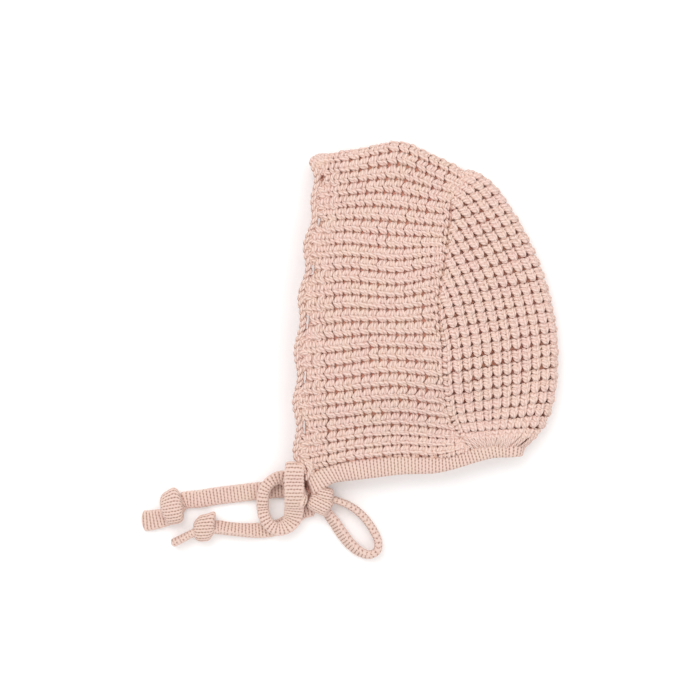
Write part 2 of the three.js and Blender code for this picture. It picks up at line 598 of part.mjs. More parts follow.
const bonnet = new THREE.Group();
bonnet.add(
  piece("front_panel", frontPanel(), COLOURS.knit),
  piece("back_panel", backPanel(), COLOURS.knit),
  piece("face_edging", faceEdging(), COLOURS.edging),
  piece("neck_band", neckBand(), COLOURS.band),
  piece("bow_knot", lump(BOW_KNOT), COLOURS.tie),
  piece("left_loop", tape(LEFT_LOOP), COLOURS.tie),
  piece("right_loop", tape(RIGHT_LOOP), COLOURS.tie),
  piece("upper_tail", tape(UPPER_TAIL), COLOURS.tie),
  piece("lower_tail", tape(LOWER_TAIL), COLOURS.tie),
  piece("upper_end_knot", endKnot(UPPER_KNOT, UPPER_FLAP), COLOURS.tie),
  piece("lower_end_knot", endKnot(LOWER_KNOT, LOWER_FLAP), COLOURS.tie),
);

export default bonnet;
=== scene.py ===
"""A chunky knit baby bonnet lying folded on its side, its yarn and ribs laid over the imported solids.

Metres, +Z up, the face opening towards -X and the neck towards -Y. A ridge is one column of stitches of
the front panel, counted from the folded edge, and a wale is one of the back panel. Both are positive on
the upper layer and negative on the under layer.
"""

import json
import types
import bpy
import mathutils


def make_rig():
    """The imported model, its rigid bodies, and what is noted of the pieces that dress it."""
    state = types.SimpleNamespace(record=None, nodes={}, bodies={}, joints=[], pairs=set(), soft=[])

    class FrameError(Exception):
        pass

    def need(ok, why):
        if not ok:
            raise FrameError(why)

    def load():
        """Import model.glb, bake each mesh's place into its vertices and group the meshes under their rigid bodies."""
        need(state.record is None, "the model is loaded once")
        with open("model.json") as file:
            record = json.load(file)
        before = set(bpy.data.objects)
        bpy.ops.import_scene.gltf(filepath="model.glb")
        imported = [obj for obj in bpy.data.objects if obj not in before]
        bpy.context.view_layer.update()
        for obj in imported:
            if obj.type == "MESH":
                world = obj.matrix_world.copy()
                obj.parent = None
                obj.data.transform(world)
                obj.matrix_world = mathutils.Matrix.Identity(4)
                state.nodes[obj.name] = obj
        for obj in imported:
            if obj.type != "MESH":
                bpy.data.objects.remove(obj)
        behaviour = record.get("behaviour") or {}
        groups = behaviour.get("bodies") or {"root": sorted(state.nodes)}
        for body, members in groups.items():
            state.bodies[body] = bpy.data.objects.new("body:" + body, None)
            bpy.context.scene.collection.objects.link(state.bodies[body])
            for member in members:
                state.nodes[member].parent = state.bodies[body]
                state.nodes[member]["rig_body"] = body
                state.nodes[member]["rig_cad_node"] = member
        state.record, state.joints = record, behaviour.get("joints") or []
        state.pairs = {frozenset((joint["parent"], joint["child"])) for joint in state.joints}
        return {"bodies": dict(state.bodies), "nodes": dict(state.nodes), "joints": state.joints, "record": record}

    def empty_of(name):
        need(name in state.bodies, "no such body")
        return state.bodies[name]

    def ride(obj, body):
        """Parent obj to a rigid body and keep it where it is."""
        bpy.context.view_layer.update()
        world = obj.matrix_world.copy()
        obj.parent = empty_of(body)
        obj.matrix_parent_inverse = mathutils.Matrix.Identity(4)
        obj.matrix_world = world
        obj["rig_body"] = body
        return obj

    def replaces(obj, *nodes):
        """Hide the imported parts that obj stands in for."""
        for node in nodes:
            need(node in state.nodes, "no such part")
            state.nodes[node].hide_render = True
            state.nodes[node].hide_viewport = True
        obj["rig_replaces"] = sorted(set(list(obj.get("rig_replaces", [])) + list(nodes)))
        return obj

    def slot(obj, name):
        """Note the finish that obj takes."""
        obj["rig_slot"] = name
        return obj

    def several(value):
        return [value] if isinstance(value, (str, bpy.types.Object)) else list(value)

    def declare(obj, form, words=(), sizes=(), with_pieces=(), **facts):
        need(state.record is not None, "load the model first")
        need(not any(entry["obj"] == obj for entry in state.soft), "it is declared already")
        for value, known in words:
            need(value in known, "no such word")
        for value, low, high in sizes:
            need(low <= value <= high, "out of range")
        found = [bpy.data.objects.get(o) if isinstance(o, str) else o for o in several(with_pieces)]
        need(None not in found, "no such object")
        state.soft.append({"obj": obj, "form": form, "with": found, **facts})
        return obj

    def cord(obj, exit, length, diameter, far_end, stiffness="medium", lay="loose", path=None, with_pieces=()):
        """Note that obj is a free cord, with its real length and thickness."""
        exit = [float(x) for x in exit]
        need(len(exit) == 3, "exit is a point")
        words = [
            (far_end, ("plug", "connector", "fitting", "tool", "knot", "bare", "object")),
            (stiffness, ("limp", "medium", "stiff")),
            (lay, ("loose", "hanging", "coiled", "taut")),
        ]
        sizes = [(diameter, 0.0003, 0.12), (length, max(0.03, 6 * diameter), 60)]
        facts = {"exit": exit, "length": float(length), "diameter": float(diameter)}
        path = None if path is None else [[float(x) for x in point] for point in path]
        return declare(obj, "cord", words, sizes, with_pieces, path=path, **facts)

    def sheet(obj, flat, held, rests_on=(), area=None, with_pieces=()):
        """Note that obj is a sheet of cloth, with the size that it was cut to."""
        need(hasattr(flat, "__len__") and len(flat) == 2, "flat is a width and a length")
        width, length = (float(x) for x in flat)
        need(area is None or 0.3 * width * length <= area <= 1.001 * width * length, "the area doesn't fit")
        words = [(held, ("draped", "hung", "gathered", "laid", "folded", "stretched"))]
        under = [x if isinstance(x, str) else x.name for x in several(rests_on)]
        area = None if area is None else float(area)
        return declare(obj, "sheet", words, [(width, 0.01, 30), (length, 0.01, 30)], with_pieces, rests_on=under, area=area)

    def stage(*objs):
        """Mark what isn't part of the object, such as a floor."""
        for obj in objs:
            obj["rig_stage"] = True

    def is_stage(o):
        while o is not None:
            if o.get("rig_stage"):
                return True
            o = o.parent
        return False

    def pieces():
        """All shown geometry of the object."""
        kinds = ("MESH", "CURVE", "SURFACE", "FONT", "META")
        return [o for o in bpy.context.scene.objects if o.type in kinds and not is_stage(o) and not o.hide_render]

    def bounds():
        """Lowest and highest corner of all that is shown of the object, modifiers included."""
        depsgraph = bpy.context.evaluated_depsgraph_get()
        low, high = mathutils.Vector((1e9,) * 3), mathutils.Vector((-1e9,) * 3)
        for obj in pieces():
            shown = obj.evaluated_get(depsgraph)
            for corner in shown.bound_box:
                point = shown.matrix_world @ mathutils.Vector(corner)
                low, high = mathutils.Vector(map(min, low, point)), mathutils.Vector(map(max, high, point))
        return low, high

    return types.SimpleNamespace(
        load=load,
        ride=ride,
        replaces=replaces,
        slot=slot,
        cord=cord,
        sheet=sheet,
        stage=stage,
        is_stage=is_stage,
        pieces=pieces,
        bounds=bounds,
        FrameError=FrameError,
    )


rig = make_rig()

bl_info = {
    "name": "Chunky Knit Bonnet",
    "version": (1, 0, 0),
    "blender": (4, 5, 0),
    "location": "View3D > Sidebar > Bonnet",
    "description": "Knits the panels, edging, neck band and ties of a baby bonnet over its solids",
    "category": "Add Mesh",
}

import json
from math import pi

import bpy
import numpy as np
from bpy.props import FloatProperty, FloatVectorProperty, IntProperty, PointerProperty
from mathutils import Vector

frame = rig.load()
cad_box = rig.bounds()

MM = 0.001
PLAN_SHIFT = 0.00185  # moves the plan along Y, so that the fabric lies over the frame's middle

# Sizes of the fabric that the solids were built with.
KNIT = 0.0046
RIB_RISE = 0.0007
BAND = 0.004
EDGING = 0.0038
FOLD_RADIUS = 0.0057
DOME_RISE = 0.015
DOME_REACH = 0.068
NECK_REACH = 0.046
FACE_REACH = 0.048
FACE_RISE = 0.3
KNOT_DIP = 0.0036
KNOT_DIP_REACH = 0.015
KNOT_DIP_X = -0.054
KNOT_DIP_Y = -0.0911
RIDGE_PITCH = 0.0064
WALE_PITCH = 0.00517
UNDER_SETBACK = 0.0045
OUTER_FOLD = FOLD_RADIUS + KNIT / 2
QUARTER_RIDGES = pi / 2 * OUTER_FOLD / RIDGE_PITCH
QUARTER_WALES = pi / 2 * OUTER_FOLD / WALE_PITCH
FOLD_INSET = KNIT / 2 + RIB_RISE
UNDER_MIDDLE = KNIT / 2

# The tables that end in MM are written in millimetres.

# The folded edge over the crown: x, y.
CROWN = np.array([
    (-60, 80.5),
    (-50, 82),
    (-36, 84),
    (-23, 86.7),
    (-14, 88),
    (-6, 85.6),
    (6, 79.8),
    (14, 76),
    (20, 73),
    (27, 71.2),
    (34, 66.6),
]) * MM

# The back panel's guide rows: row, x and y at the folded edge, x and y at the seam.
BACK_ROWS = np.array([
    (-4, 18.9, 73.6, 9.5, 66),
    (-2, 26.6, 71.4, 14.8, 65),
    (0, 34.8, 65.3, 12.3, 56.1),
    (2, 42, 56.1, 11, 45.3),
    (5, 50.7, 41.7, 8.7, 26.4),
    (8, 58.9, 23.8, 5.9, 10.5),
    (10, 63, 11, 5.5, 1.3),
    (14, 67.1, -9.5, 7.4, -19.7),
    (17, 67.6, -27.4, 8.2, -36.6),
    (20, 65.5, -45.3, 11, -52),
    (22, 60.4, -58.1, 15.9, -61.2),
    (24, 51.4, -67.6, 22.5, -68.9),
]) * (1, MM, MM, MM, MM)
GATHER_ROW = 14

# The front panel's guide valleys: ridge, x of the face edge, x of the seam, then y at each of ACROSS.
ACROSS = np.array([-52, -39, -26, -13, 4.5, 20]) * MM
VALLEYS = np.array([
    (4.5, -50.6, 12.5, 58.1, 59.6, 60.7, 59.9, 56.6, 54.5),
    (7.5, -53.6, 10, 40.2, 40.7, 39.4, 38.4, 37.6, 37),
    (10.5, -55.6, 7, 21, 21.8, 20.5, 19.7, 23.3, 25),
    (13.5, -57.9, 5.5, 0.8, 2, 1.3, 1.3, 3.3, 4),
    (16.5, -59.2, 7.2, -21, -19.7, -17.9, -18.2, -18.7, -19),
    (19.5, -59.8, 8.5, -41.2, -39.7, -37.9, -37.1, -39.2, -40),
    (22.5, -60, 15.5, -60.7, -58.9, -57.1, -56.6, -58.6, -61),
    (25.5, -59.2, 22.5, -78.6, -75.5, -74, -72.4, -73, -69.5),
]) * ([1] + [MM] * 8)
CROWN_EDGE = -0.0522
CROWN_SEAM = 0.0225

# Where the front panel's holes stand: ridge, x of the first hole and the step from hole to hole.
HOLES = np.array([
    (0, -43, 5.1),
    (2, -43, 4.9),
    (4.5, -43.6, 4.53),
    (7.5, -45.3, 4.36),
    (10.5, -45.8, 4.4),
    (13.5, -45.9, 4.43),
    (18, -45.5, 4.5),
    (22.5, -44.8, 4.6),
    (26, -44.6, 4.65),
]) * (1, MM, MM)

# The line where both panels meet the neck band: x, y.
NECK = np.array([
    (-66, -83.6),
    (-59, -81.4),
    (-51.7, -78.6),
    (-39, -75.5),
    (-26, -74),
    (-13, -73),
    (4.5, -73.4),
    (13.3, -72.6),
    (22.5, -69),
    (36, -66.9),
    (56, -67),
]) * MM

# The neck band from the knot back to the nape: upper edge's x, how far it runs below the neck line,
# lower edge's x and y, and how far the upper layer lies below the dome.
BAND_LINES = np.array([
    (-61, 3.6, -58.2, -93.8, 1),
    (-59.4, 1.2, -54.8, -92, 0.5),
    (-56.8, 0.6, -51.2, -89.6, 0.2),
    (-52.8, 0.3, -47.4, -87.3, 0),
    (-45.6, 0.3, -42, -86.3, 0),
    (-38, 0.3, -36, -85.6, 0),
    (-26, 0.3, -25, -84.3, 0),
    (-13, 0.3, -12.5, -82.8, 0),
    (4, 0.3, 4, -82.2, 0),
    (13.4, 0.3, 14.6, -80, 0),
    (22.6, 0.3, 25, -76.8, 0),
    (33, 0.3, 34.5, -74.4, 0),
    (43, 0.3, 42.6, -74.1, 0),
]) * MM

# The band's folded end at the nape: x and y of its upper corner, then of its lower one.
NAPE = (0.0512, -0.0676, 0.0496, -0.0738)

# The upper layer's strands run over the fold to FOLD_END, a ridge or a wale, where the under layer's
# begin. Then the last ridge and wale that are knitted, and the back panel's first and last row.
FOLD_END = -1.5
LAST_RIDGE = 25.9
MOST_WALES = 15
FIRST_ROW = -4
LAST_ROW = 24

# Width and length of the two panels before they were joined.
FRONT_CUT = (0.082, 0.310)
BACK_CUT = (0.130, 0.165)

# The edging: ridges to a scallop, the first one's middle, how many there are on a side, the last ridge
# that it reaches and the first, its width, and how far the scallops swell and the corner is rounded.
SCALLOP_RIDGES = 3.85
FIRST_SCALLOP = 0.7
SCALLOPS = 7
EDGING_END = 24.5
EDGING_START = -0.9
EDGING_WIDTH = 0.0069
SCALLOP_RISE = 0.0014
CORNER_ROUNDING = 0.0015

# The ties' routes: x, y, z, roll in degrees and the tape's width there.
ROUTE_UNITS = (MM, MM, MM, 1, MM)
TAPE_WIDTH = 0.0092
TAPE_THICK = 0.0037
LEFT_LOOP = np.array([
    (-60.9, -96.2, 7.6, 0, 7.2),
    (-63.4, -94.6, 7.2, 0, 7.8),
    (-66, -91, 6.7, 0, 8.6),
    (-69.2, -87, 6.3, 0, 8.8),
    (-74, -84.6, 6.6, 0, 7.4),
    (-79.2, -86.4, 7.3, 0, 6.4),
    (-82.6, -90.6, 7.3, 0, 6.4),
    (-83.6, -95.4, 7.2, 0, 6.4),
    (-83.6, -100.2, 6.4, 0, 6.4),
    (-82.6, -104.8, 7.2, 0, 6.4),
    (-80.2, -108.6, 7.6, 0, 6.6),
    (-76.2, -110.8, 7.5, 0, 7),
    (-71.6, -109.6, 7.3, 0, 8),
    (-68.6, -106, 7.3, 0, 9.6),
    (-67.5, -101, 9.6, 0, 10.2),
    (-67.4, -96, 13.2, 0, 10.2),
    (-67.4, -91, 14.9, 0, 10.2),
    (-67.4, -85.6, 15, 0, 10.2),
    (-67.3, -80, 14.8, 0, 10.2),
    (-67.2, -77.9, 12.6, 0, 9.6),
    (-67, -80.4, 10.5, 0, 8.8),
    (-66.6, -86.4, 10.5, 0, 8.8),
    (-65.8, -91.4, 11.1, 0, 8.2),
    (-63.8, -95.6, 12.1, 0, 7.4),
    (-60.9, -96.8, 12.5, 0, 7.2),
]) * ROUTE_UNITS
RIGHT_LOOP = np.array([
    (-50.5, -95.8, 5, 90, 8.8),
    (-47.5, -95.9, 4.9, 90, 8.8),
    (-44.4, -96.8, 4.8, 90, 8.8),
    (-40, -98.6, 4.8, 90, 8.4),
    (-35.3, -101.6, 4.8, 90, 8),
    (-30.7, -106.2, 4.8, 90, 7.8),
    (-26.8, -111.9, 4.8, 90, 7.8),
    (-24.4, -117.8, 4.8, 90, 7.8),
    (-25.2, -122.4, 4.8, 92, 7.8),
    (-29, -124.2, 4.8, 100, 7.8),
    (-33.8, -122.6, 4.8, 112, 7.8),
    (-38.6, -118.8, 4.7, 122, 7.8),
    (-42.8, -113.6, 4.6, 126, 7.8),
    (-46.4, -108.2, 4.6, 124, 7.8),
    (-49, -104.8, 4.6, 116, 7.8),
    (-51.2, -101.4, 5, 110, 7.8),
]) * ROUTE_UNITS
UPPER_TAIL = np.array([
    (-61, -95.2, 2.6, 0, 7.2),
    (-65.4, -92.4, 2.3, 0, 8.6),
    (-71, -90.7, 2.1, 0, 9.2),
    (-78, -90.8, 2.1, 0, 9.2),
    (-86.5, -91.6, 2.1, 0, 9.2),
    (-97, -92.9, 2.1, 0, 9.2),
    (-107.5, -94.2, 2.1, 0, 9.2),
    (-116, -95.6, 2.1, 0, 9.2),
    (-124.9, -96.9, 2.2, 0, 9),
    (-131, -104, 3, 0, 9),
    (-136, -105.6, 2.5, 0, 10),
    (-141, -106.6, 2.2, 0, 10.6),
    (-145.8, -107, 2.1, 0, 10.8),
]) * ROUTE_UNITS
LOWER_TAIL = np.array([
    (-57, -100.8, 3.4, 0, 7.4),
    (-63.4, -102.2, 3.2, 0, 7.8),
    (-68.2, -105.6, 2.7, 0, 8),
    (-73.4, -109.2, 2.3, 0, 8.4),
    (-79.9, -111.2, 2.3, 0, 8.4),
    (-86.5, -111.8, 2.9, 12, 8),
    (-93, -111.6, 3.9, 34, 7.6),
    (-100, -111, 4.3, 42, 7.6),
    (-106.8, -110.2, 4.1, 36, 7.8),
    (-116, -111.6, 5, 90, 8),
    (-121, -113.8, 4.7, 84, 8.6),
    (-126, -116.4, 4.7, 80, 8.6),
    (-130.6, -118.6, 4.7, 80, 8.4),
]) * ROUTE_UNITS

# The knots' lumps: middle x, y, z, half sizes in x, y, z, turn about Z in degrees, then the places that
# are pulled out or in: across and up the lump from -1 to 1, the pull in x and y, and its reach.
BOW_LUMPS = (
    ((-0.0518, -0.0932, 0.0074, 0.0046, 0.0040, 0.0062, -14), ()),
    ((-0.0545, -0.0980, 0.0070, 0.0062, 0.0050, 0.0067, -27), ((1, 0.6, 0.0004, 0.0004, 0.5),)),
)
UPPER_PULLS = ((0.4, 1, 0.0002, 0.0011, 0.45), (-0.9, 1, 0, -0.0012, 0.6), (-0.9, -0.9, 0.001, 0, 0.5))
UPPER_LUMPS = (((-0.1303, -0.0998, 0.0054, 0.0058, 0.0089, 0.0052, 9), UPPER_PULLS),)
LOWER_PULLS = (
    (0.9, 1, 0.0018, 0.0024, 0.45),
    (-0.9, 1, 0.0008, -0.0012, 0.5),
    (0.9, -0.9, -0.0012, 0.0004, 0.5),
)
LOWER_LUMPS = (((-0.1137, -0.1104, 0.0054, 0.0056, 0.0070, 0.0052, 2), LOWER_PULLS),)

# The camera straight above: its lens and sensor, the width that it sees and what it looks at.
LENS = 0.2
SENSOR = 0.036
VIEW_WIDTH = 0.3584
VIEW_MIDDLE = (-0.0389, -0.0192 + PLAN_SHIFT, 0.008)
FLOOR_HALF = 4.0

# The lamps: name, place, size and power.
LAMPS = (
    ("key", (-0.55, 0.75, 1.6), 1.2, 13.0),
    ("fill", (0.9, -0.6, 1.5), 1.6, 6.0),
)


class BonnetSizes(bpy.types.PropertyGroup):
    """Sizes of the yarn and the ribs"""

    yarn: FloatProperty(
        name="Yarn", description="Thickness of the yarn", default=0.0024, unit="LENGTH"
    )
    ply_length: FloatProperty(
        name="Ply length",
        description="Length along the yarn in which its plies turn once",
        default=0.0066,
        unit="LENGTH",
    )
    rib_pitch: FloatProperty(
        name="Rib pitch", description="From one fine rib to the next", default=0.00175, unit="LENGTH"
    )
    seed: IntProperty(name="Seed", description="Seed of the hand-knit unevenness", default=7)


class BonnetColours(bpy.types.PropertyGroup):
    """Colours of the yarn and the floor. Most of the yarn's are lighter and darker copies of one colour, painted light
    and shade by how deep the yarn lies.
    """

    # Painted light: the lighter colour of the yarn where it stands highest.
    lit_crest: FloatVectorProperty(
        name="Crest",
        description="The yarn where it stands highest",
        default=(0.865, 0.65, 0.575),
        subtype="COLOR",
    )
    yarn: FloatVectorProperty(
        name="Yarn",
        description="The yarn's colour",
        default=(0.84, 0.58, 0.495),
        subtype="COLOR",
    )
    # Painted shade of the yarn in the valleys.
    shaded: FloatVectorProperty(
        name="Shaded",
        description="The yarn in the valleys",
        default=(0.60, 0.37, 0.29),
        subtype="COLOR",
    )
    # Painted shade: the darker, redder colour of the yarn deep in the holes, and of the lining that shows through
    # them.
    inner: FloatVectorProperty(
        name="Inner",
        description="The yarn deep in the holes",
        default=(0.82, 0.38, 0.28),
        subtype="COLOR",
    )
    # Painted light: the lighter colour on the highest parts of the fine ribs.
    fine_lit_crest: FloatVectorProperty(
        name="Fine crest",
        description="The crests of the fine ribs",
        default=(0.795, 0.61, 0.54),
        subtype="COLOR",
    )
    fine_yarn: FloatVectorProperty(
        name="Fine yarn",
        description="The fine yarn's colour",
        default=(0.775, 0.555, 0.48),
        subtype="COLOR",
    )
    # Painted shade in the valleys of the fine ribs.
    fine_shaded: FloatVectorProperty(
        name="Fine shaded",
        description="The valleys of the fine ribs",
        default=(0.50, 0.31, 0.25),
        subtype="COLOR",
    )
    # Painted shade: the darkest colour, on the dots deep in the fine ribs' valleys.
    fine_deep_shade: FloatVectorProperty(
        name="Fine inner",
        description="The dots of the fine ribs",
        default=(0.31, 0.175, 0.135),
        subtype="COLOR",
    )
    floor: FloatVectorProperty(
        name="Floor",
        description="The floor's colour",
        default=(0.95, 0.95, 0.95),
        subtype="COLOR",
    )


def through(knots, values, at):
    """A smooth curve through the values at the knots, straight beyond both ends."""
    knots = np.asarray(knots, float)
    at = np.asarray(at, float)
    flat = at.ravel()
    values = np.asarray(values, float)
    if values.ndim == 1:
        values = np.repeat(values[:, None], flat.size, axis=1)
    else:
        values = values.reshape(len(knots), -1)
    last = len(knots) - 1
    i = np.clip(np.searchsorted(knots, flat, side="right") - 1, 0, last - 1)
    column = np.arange(flat.size)

    def slope(k):
        before, after = np.maximum(k - 1, 0), np.minimum(k + 1, last)
        rise = values[after, column] - values[before, column]
        return rise / (knots[after] - knots[before])

    start, end = values[i, column], values[i + 1, column]
    span = knots[i + 1] - knots[i]
    t = (flat - knots[i]) / span
    inside = np.clip(t, 0, 1)
    bend = inside * inside * (3 - 2 * inside)
    pull = inside * (1 - inside) * span
    found = start + (end - start) * bend
    found += pull * ((1 - inside) * slope(i) - inside * slope(i + 1))
    found += np.where(t < 0, slope(i) * t * span, 0)
    found += np.where(t > 1, slope(i + 1) * (t - 1) * span, 0)
    return found.reshape(at.shape)


def swell(distance, reach):
    """From 0 at no distance, smoothly up to 1 at the reach."""
    return np.sin(pi / 2 * np.clip(distance / reach, 0, 1)) ** 2


def crown_y(x):
    """y of the folded edge over the crown."""
    return through(CROWN[:, 0], CROWN[:, 1], x)


def neck_y(x):
    """y of the line where the panels meet the neck band."""
    return through(NECK[:, 0], NECK[:, 1], x)


def back_guide(row):
    """x and y at the folded edge, and x and y at the seam, of a back panel's row."""
    return [through(BACK_ROWS[:, 0], BACK_ROWS[:, k], row) for k in range(1, 5)]


# The whole folded edge, over the crown and down the back.
FOLD_LINE = np.vstack([CROWN[CROWN[:, 0] < 0.020], BACK_ROWS[BACK_ROWS[:, 0] >= -2][:, 1:3]])


def distance_to_fold(x, y):
    """How far a place of the plan is from the folded edge."""
    least = np.full(np.shape(x), np.inf)
    for a, b in zip(FOLD_LINE[:-1], FOLD_LINE[1:]):
        d = b - a
        t = np.clip(((x - a[0]) * d[0] + (y - a[1]) * d[1]) / (d @ d), 0, 1)
        least = np.minimum(least, np.hypot(x - a[0] - t * d[0], y - a[1] - t * d[1]))
    return least


def height(x, y):
    """Height of the upper layer's middle."""
    inside = swell(distance_to_fold(x, y) - OUTER_FOLD, DOME_REACH)
    over_neck = swell(y - neck_y(x), NECK_REACH)
    face_x = through(-VALLEYS[:, 3], VALLEYS[:, 1], -y)
    from_face = FACE_RISE + (1 - FACE_RISE) * swell(x - face_x, FACE_REACH)
    corner = np.hypot(x - KNOT_DIP_X, y - KNOT_DIP_Y) / KNOT_DIP_REACH
    dip = KNOT_DIP * np.exp(-corner * corner)
    return UNDER_MIDDLE + 2 * FOLD_RADIUS + DOME_RISE * inside * over_neck * from_face - dip


def bend(turn):
    """How far in from the outline, and how high, the fabric's middle is on the folded edge."""
    inset = FOLD_INSET + FOLD_RADIUS * (1 - np.cos(turn))
    return inset, UNDER_MIDDLE + FOLD_RADIUS * (1 + np.sin(turn))


def ridge_y(x, ridge):
    """y of a ridge line of the front panel's flat part."""
    top = crown_y(x) - FOLD_INSET - FOLD_RADIUS
    knots = np.concatenate([[QUARTER_RIDGES], VALLEYS[:, 0]])
    values = [top.ravel()] + [through(ACROSS, row[3:], x).ravel() for row in VALLEYS]
    return through(knots, np.array(values), ridge)


def edge_of(side):
    """x of the face edge at a ridge of the upper layer."""
    return through(np.r_[0, VALLEYS[:, 0]], np.r_[CROWN_EDGE, VALLEYS[:, 1]], side)


def seam_of(side):
    """x of the seam at a ridge."""
    return through(np.r_[0, VALLEYS[:, 0]], np.r_[CROWN_SEAM, VALLEYS[:, 2]], side)


def setback(ridge):
    """How far behind the upper layer's face edge the under layer's lies."""
    return np.where(ridge < 0, UNDER_SETBACK * np.clip(-ridge / 4, 0, 1), 0)


def front_at(x, ridge):
    """The fabric's middle at x on a ridge line of the front panel."""
    x, ridge = np.broadcast_arrays(np.asarray(x, float), np.asarray(ridge, float))
    side = np.abs(ridge)
    inset, z_bend = bend(pi / 2 * np.clip(ridge / QUARTER_RIDGES, -1, 1))
    y_flat = ridge_y(x, side)
    y = np.where(side <= QUARTER_RIDGES, crown_y(x) - inset, y_flat)
    z_flat = np.where(ridge < 0, UNDER_MIDDLE, height(x, y_flat))
    z = np.where(side <= QUARTER_RIDGES, z_bend, z_flat)
    return np.stack([x, y + PLAN_SHIFT, z], -1)


def back_row_wales(row):
    """How many wales a back panel's row has from the folded edge to the seam."""
    fold_x, fold_y, seam_x, seam_y = back_guide(np.minimum(row, GATHER_ROW))
    run = np.hypot(fold_x - seam_x, fold_y - seam_y)
    return QUARTER_WALES + (run - FOLD_INSET - FOLD_RADIUS) / WALE_PITCH


def back_middle(wale, row):
    """The fabric's middle on a back panel's row, by wales from the folded edge."""
    wale, row = np.broadcast_arrays(np.asarray(wale, float), np.asarray(row, float))
    fold_x, fold_y, seam_x, seam_y = back_guide(row)
    length = np.hypot(seam_x - fold_x, seam_y - fold_y)
    in_x, in_y = (seam_x - fold_x) / length, (seam_y - fold_y) / length
    flat = length - FOLD_INSET - FOLD_RADIUS
    gathered = back_row_wales(np.maximum(row, GATHER_ROW)) - QUARTER_WALES
    pitch = np.where(row > GATHER_ROW, flat / gathered, WALE_PITCH)
    side = np.abs(wale)
    inset, z_bend = bend(pi / 2 * np.clip(wale / QUARTER_WALES, -1, 1))
    reach = np.where(
        side <= QUARTER_WALES, inset, FOLD_INSET + FOLD_RADIUS + (side - QUARTER_WALES) * pitch
    )
    x, y = fold_x + in_x * reach, fold_y + in_y * reach
    z_flat = np.where(wale < 0, UNDER_MIDDLE, height(x, y))
    z = np.where(side <= QUARTER_WALES, z_bend, z_flat)
    return np.stack([x, y + PLAN_SHIFT, z], -1)


def band_middle(line, across):
    """The neck band's middle, by lines of BAND_LINES from its folded end and across it from 0 to 1."""
    line, across = np.broadcast_arrays(np.asarray(line, float), np.asarray(across, float))
    side = np.abs(line)
    at = np.maximum(side - 1, 0)
    from_nape = BAND_LINES[::-1]
    knots = np.arange(len(from_nape))
    top_x, below, low_x, low_y, drop = [through(knots, from_nape[:, k], at) for k in range(5)]
    x = top_x + (low_x - top_x) * across
    top_y = neck_y(top_x) - below
    y = top_y + (low_y - top_y) * across
    dome = height(x, np.maximum(y, neck_y(x)))
    z = np.where(line < 0, BAND / 2, dome - drop)
    turn = pi / 2 * np.clip(line, -1, 1)
    tip_x = NAPE[0] + (NAPE[2] - NAPE[0]) * across - BAND / 2
    tip_y = NAPE[1] + (NAPE[3] - NAPE[1]) * across
    turned = np.where(side < 1, np.cos(turn), 0)
    x = x + (tip_x - x) * turned
    y = y + (tip_y - y) * turned
    z_turn = (BAND / 2 + dome) / 2 + (dome - BAND / 2) / 2 * np.sin(turn)
    return np.stack([x, y + PLAN_SHIFT, np.where(side < 1, z_turn, z)], -1)


def edging_middle(ridge, across):
    """The edging's middle: across from 0 at the scalloped edge to 1 at the panel."""
    ridge, across = np.broadcast_arrays(np.asarray(ridge, float), np.asarray(across, float))
    side = np.abs(ridge)
    phase = 2 * pi * (side - FIRST_SCALLOP) / SCALLOP_RIDGES
    width = EDGING_WIDTH + SCALLOP_RISE * np.cos(phase) - CORNER_ROUNDING * np.exp(-side * side)
    x = edge_of(side) + setback(ridge) - (1 - across) * width
    middle = front_at(x, ridge)
    middle[..., 2] = np.where(ridge < -QUARTER_RIDGES, EDGING / 2, middle[..., 2])
    return middle


def front_face(ridge, x):
    """The front panel's middle as face_of asks for it, so that its normals point outwards."""
    return front_at(x, ridge)


def face_of(middle, u, v):
    """The points of a mapping and its outward normals there."""
    step = 0.02
    along = middle(u + step, v) - middle(u - step, v)
    normal = np.cross(along, middle(u, v + step) - middle(u, v - step))
    normal /= np.linalg.norm(normal, axis=-1, keepdims=True)
    return middle(u, v), normal


def way_along(points):
    """The length of a line of points up to each of them."""
    return np.r_[0, np.cumsum(np.linalg.norm(np.diff(points, axis=0), axis=1))]


def unit(v):
    """Vectors of length 1."""
    return v / np.maximum(np.linalg.norm(v, axis=-1, keepdims=True), 1e-12)


def squarish(wave, power):
    """A sine or cosine drawn outwards, which makes a round outline squarer."""
    return np.sign(wave) * np.abs(wave) ** power


def smooth(t):
    """From 0 to 1 with soft ends."""
    t = np.clip(t, 0, 1)
    return t * t * (3 - 2 * t)


def wrapped(values, n, sides):
    """Values for the rings' points, with the first column again after the last."""
    values = np.asarray(values, float)
    if values.ndim == 0:
        values = values[None]
    if values.ndim == 1:
        values = values[:, None]
    if values.shape[1] == sides + 1:
        return np.broadcast_to(values, (n, sides + 1))
    values = np.broadcast_to(values, (n, sides))
    return np.hstack([values, values[:, :1]])


# The heights over the fabric's middle between which the yarn's painted light and shade goes from the lightest colour,
# highest up, to the darkest shade, deep in the holes.
TOP_OUT = 0.0026
LOW_OUT = -0.0010

# A run of yarn with fewer points than this is left out.
LEAST_RUN = 7


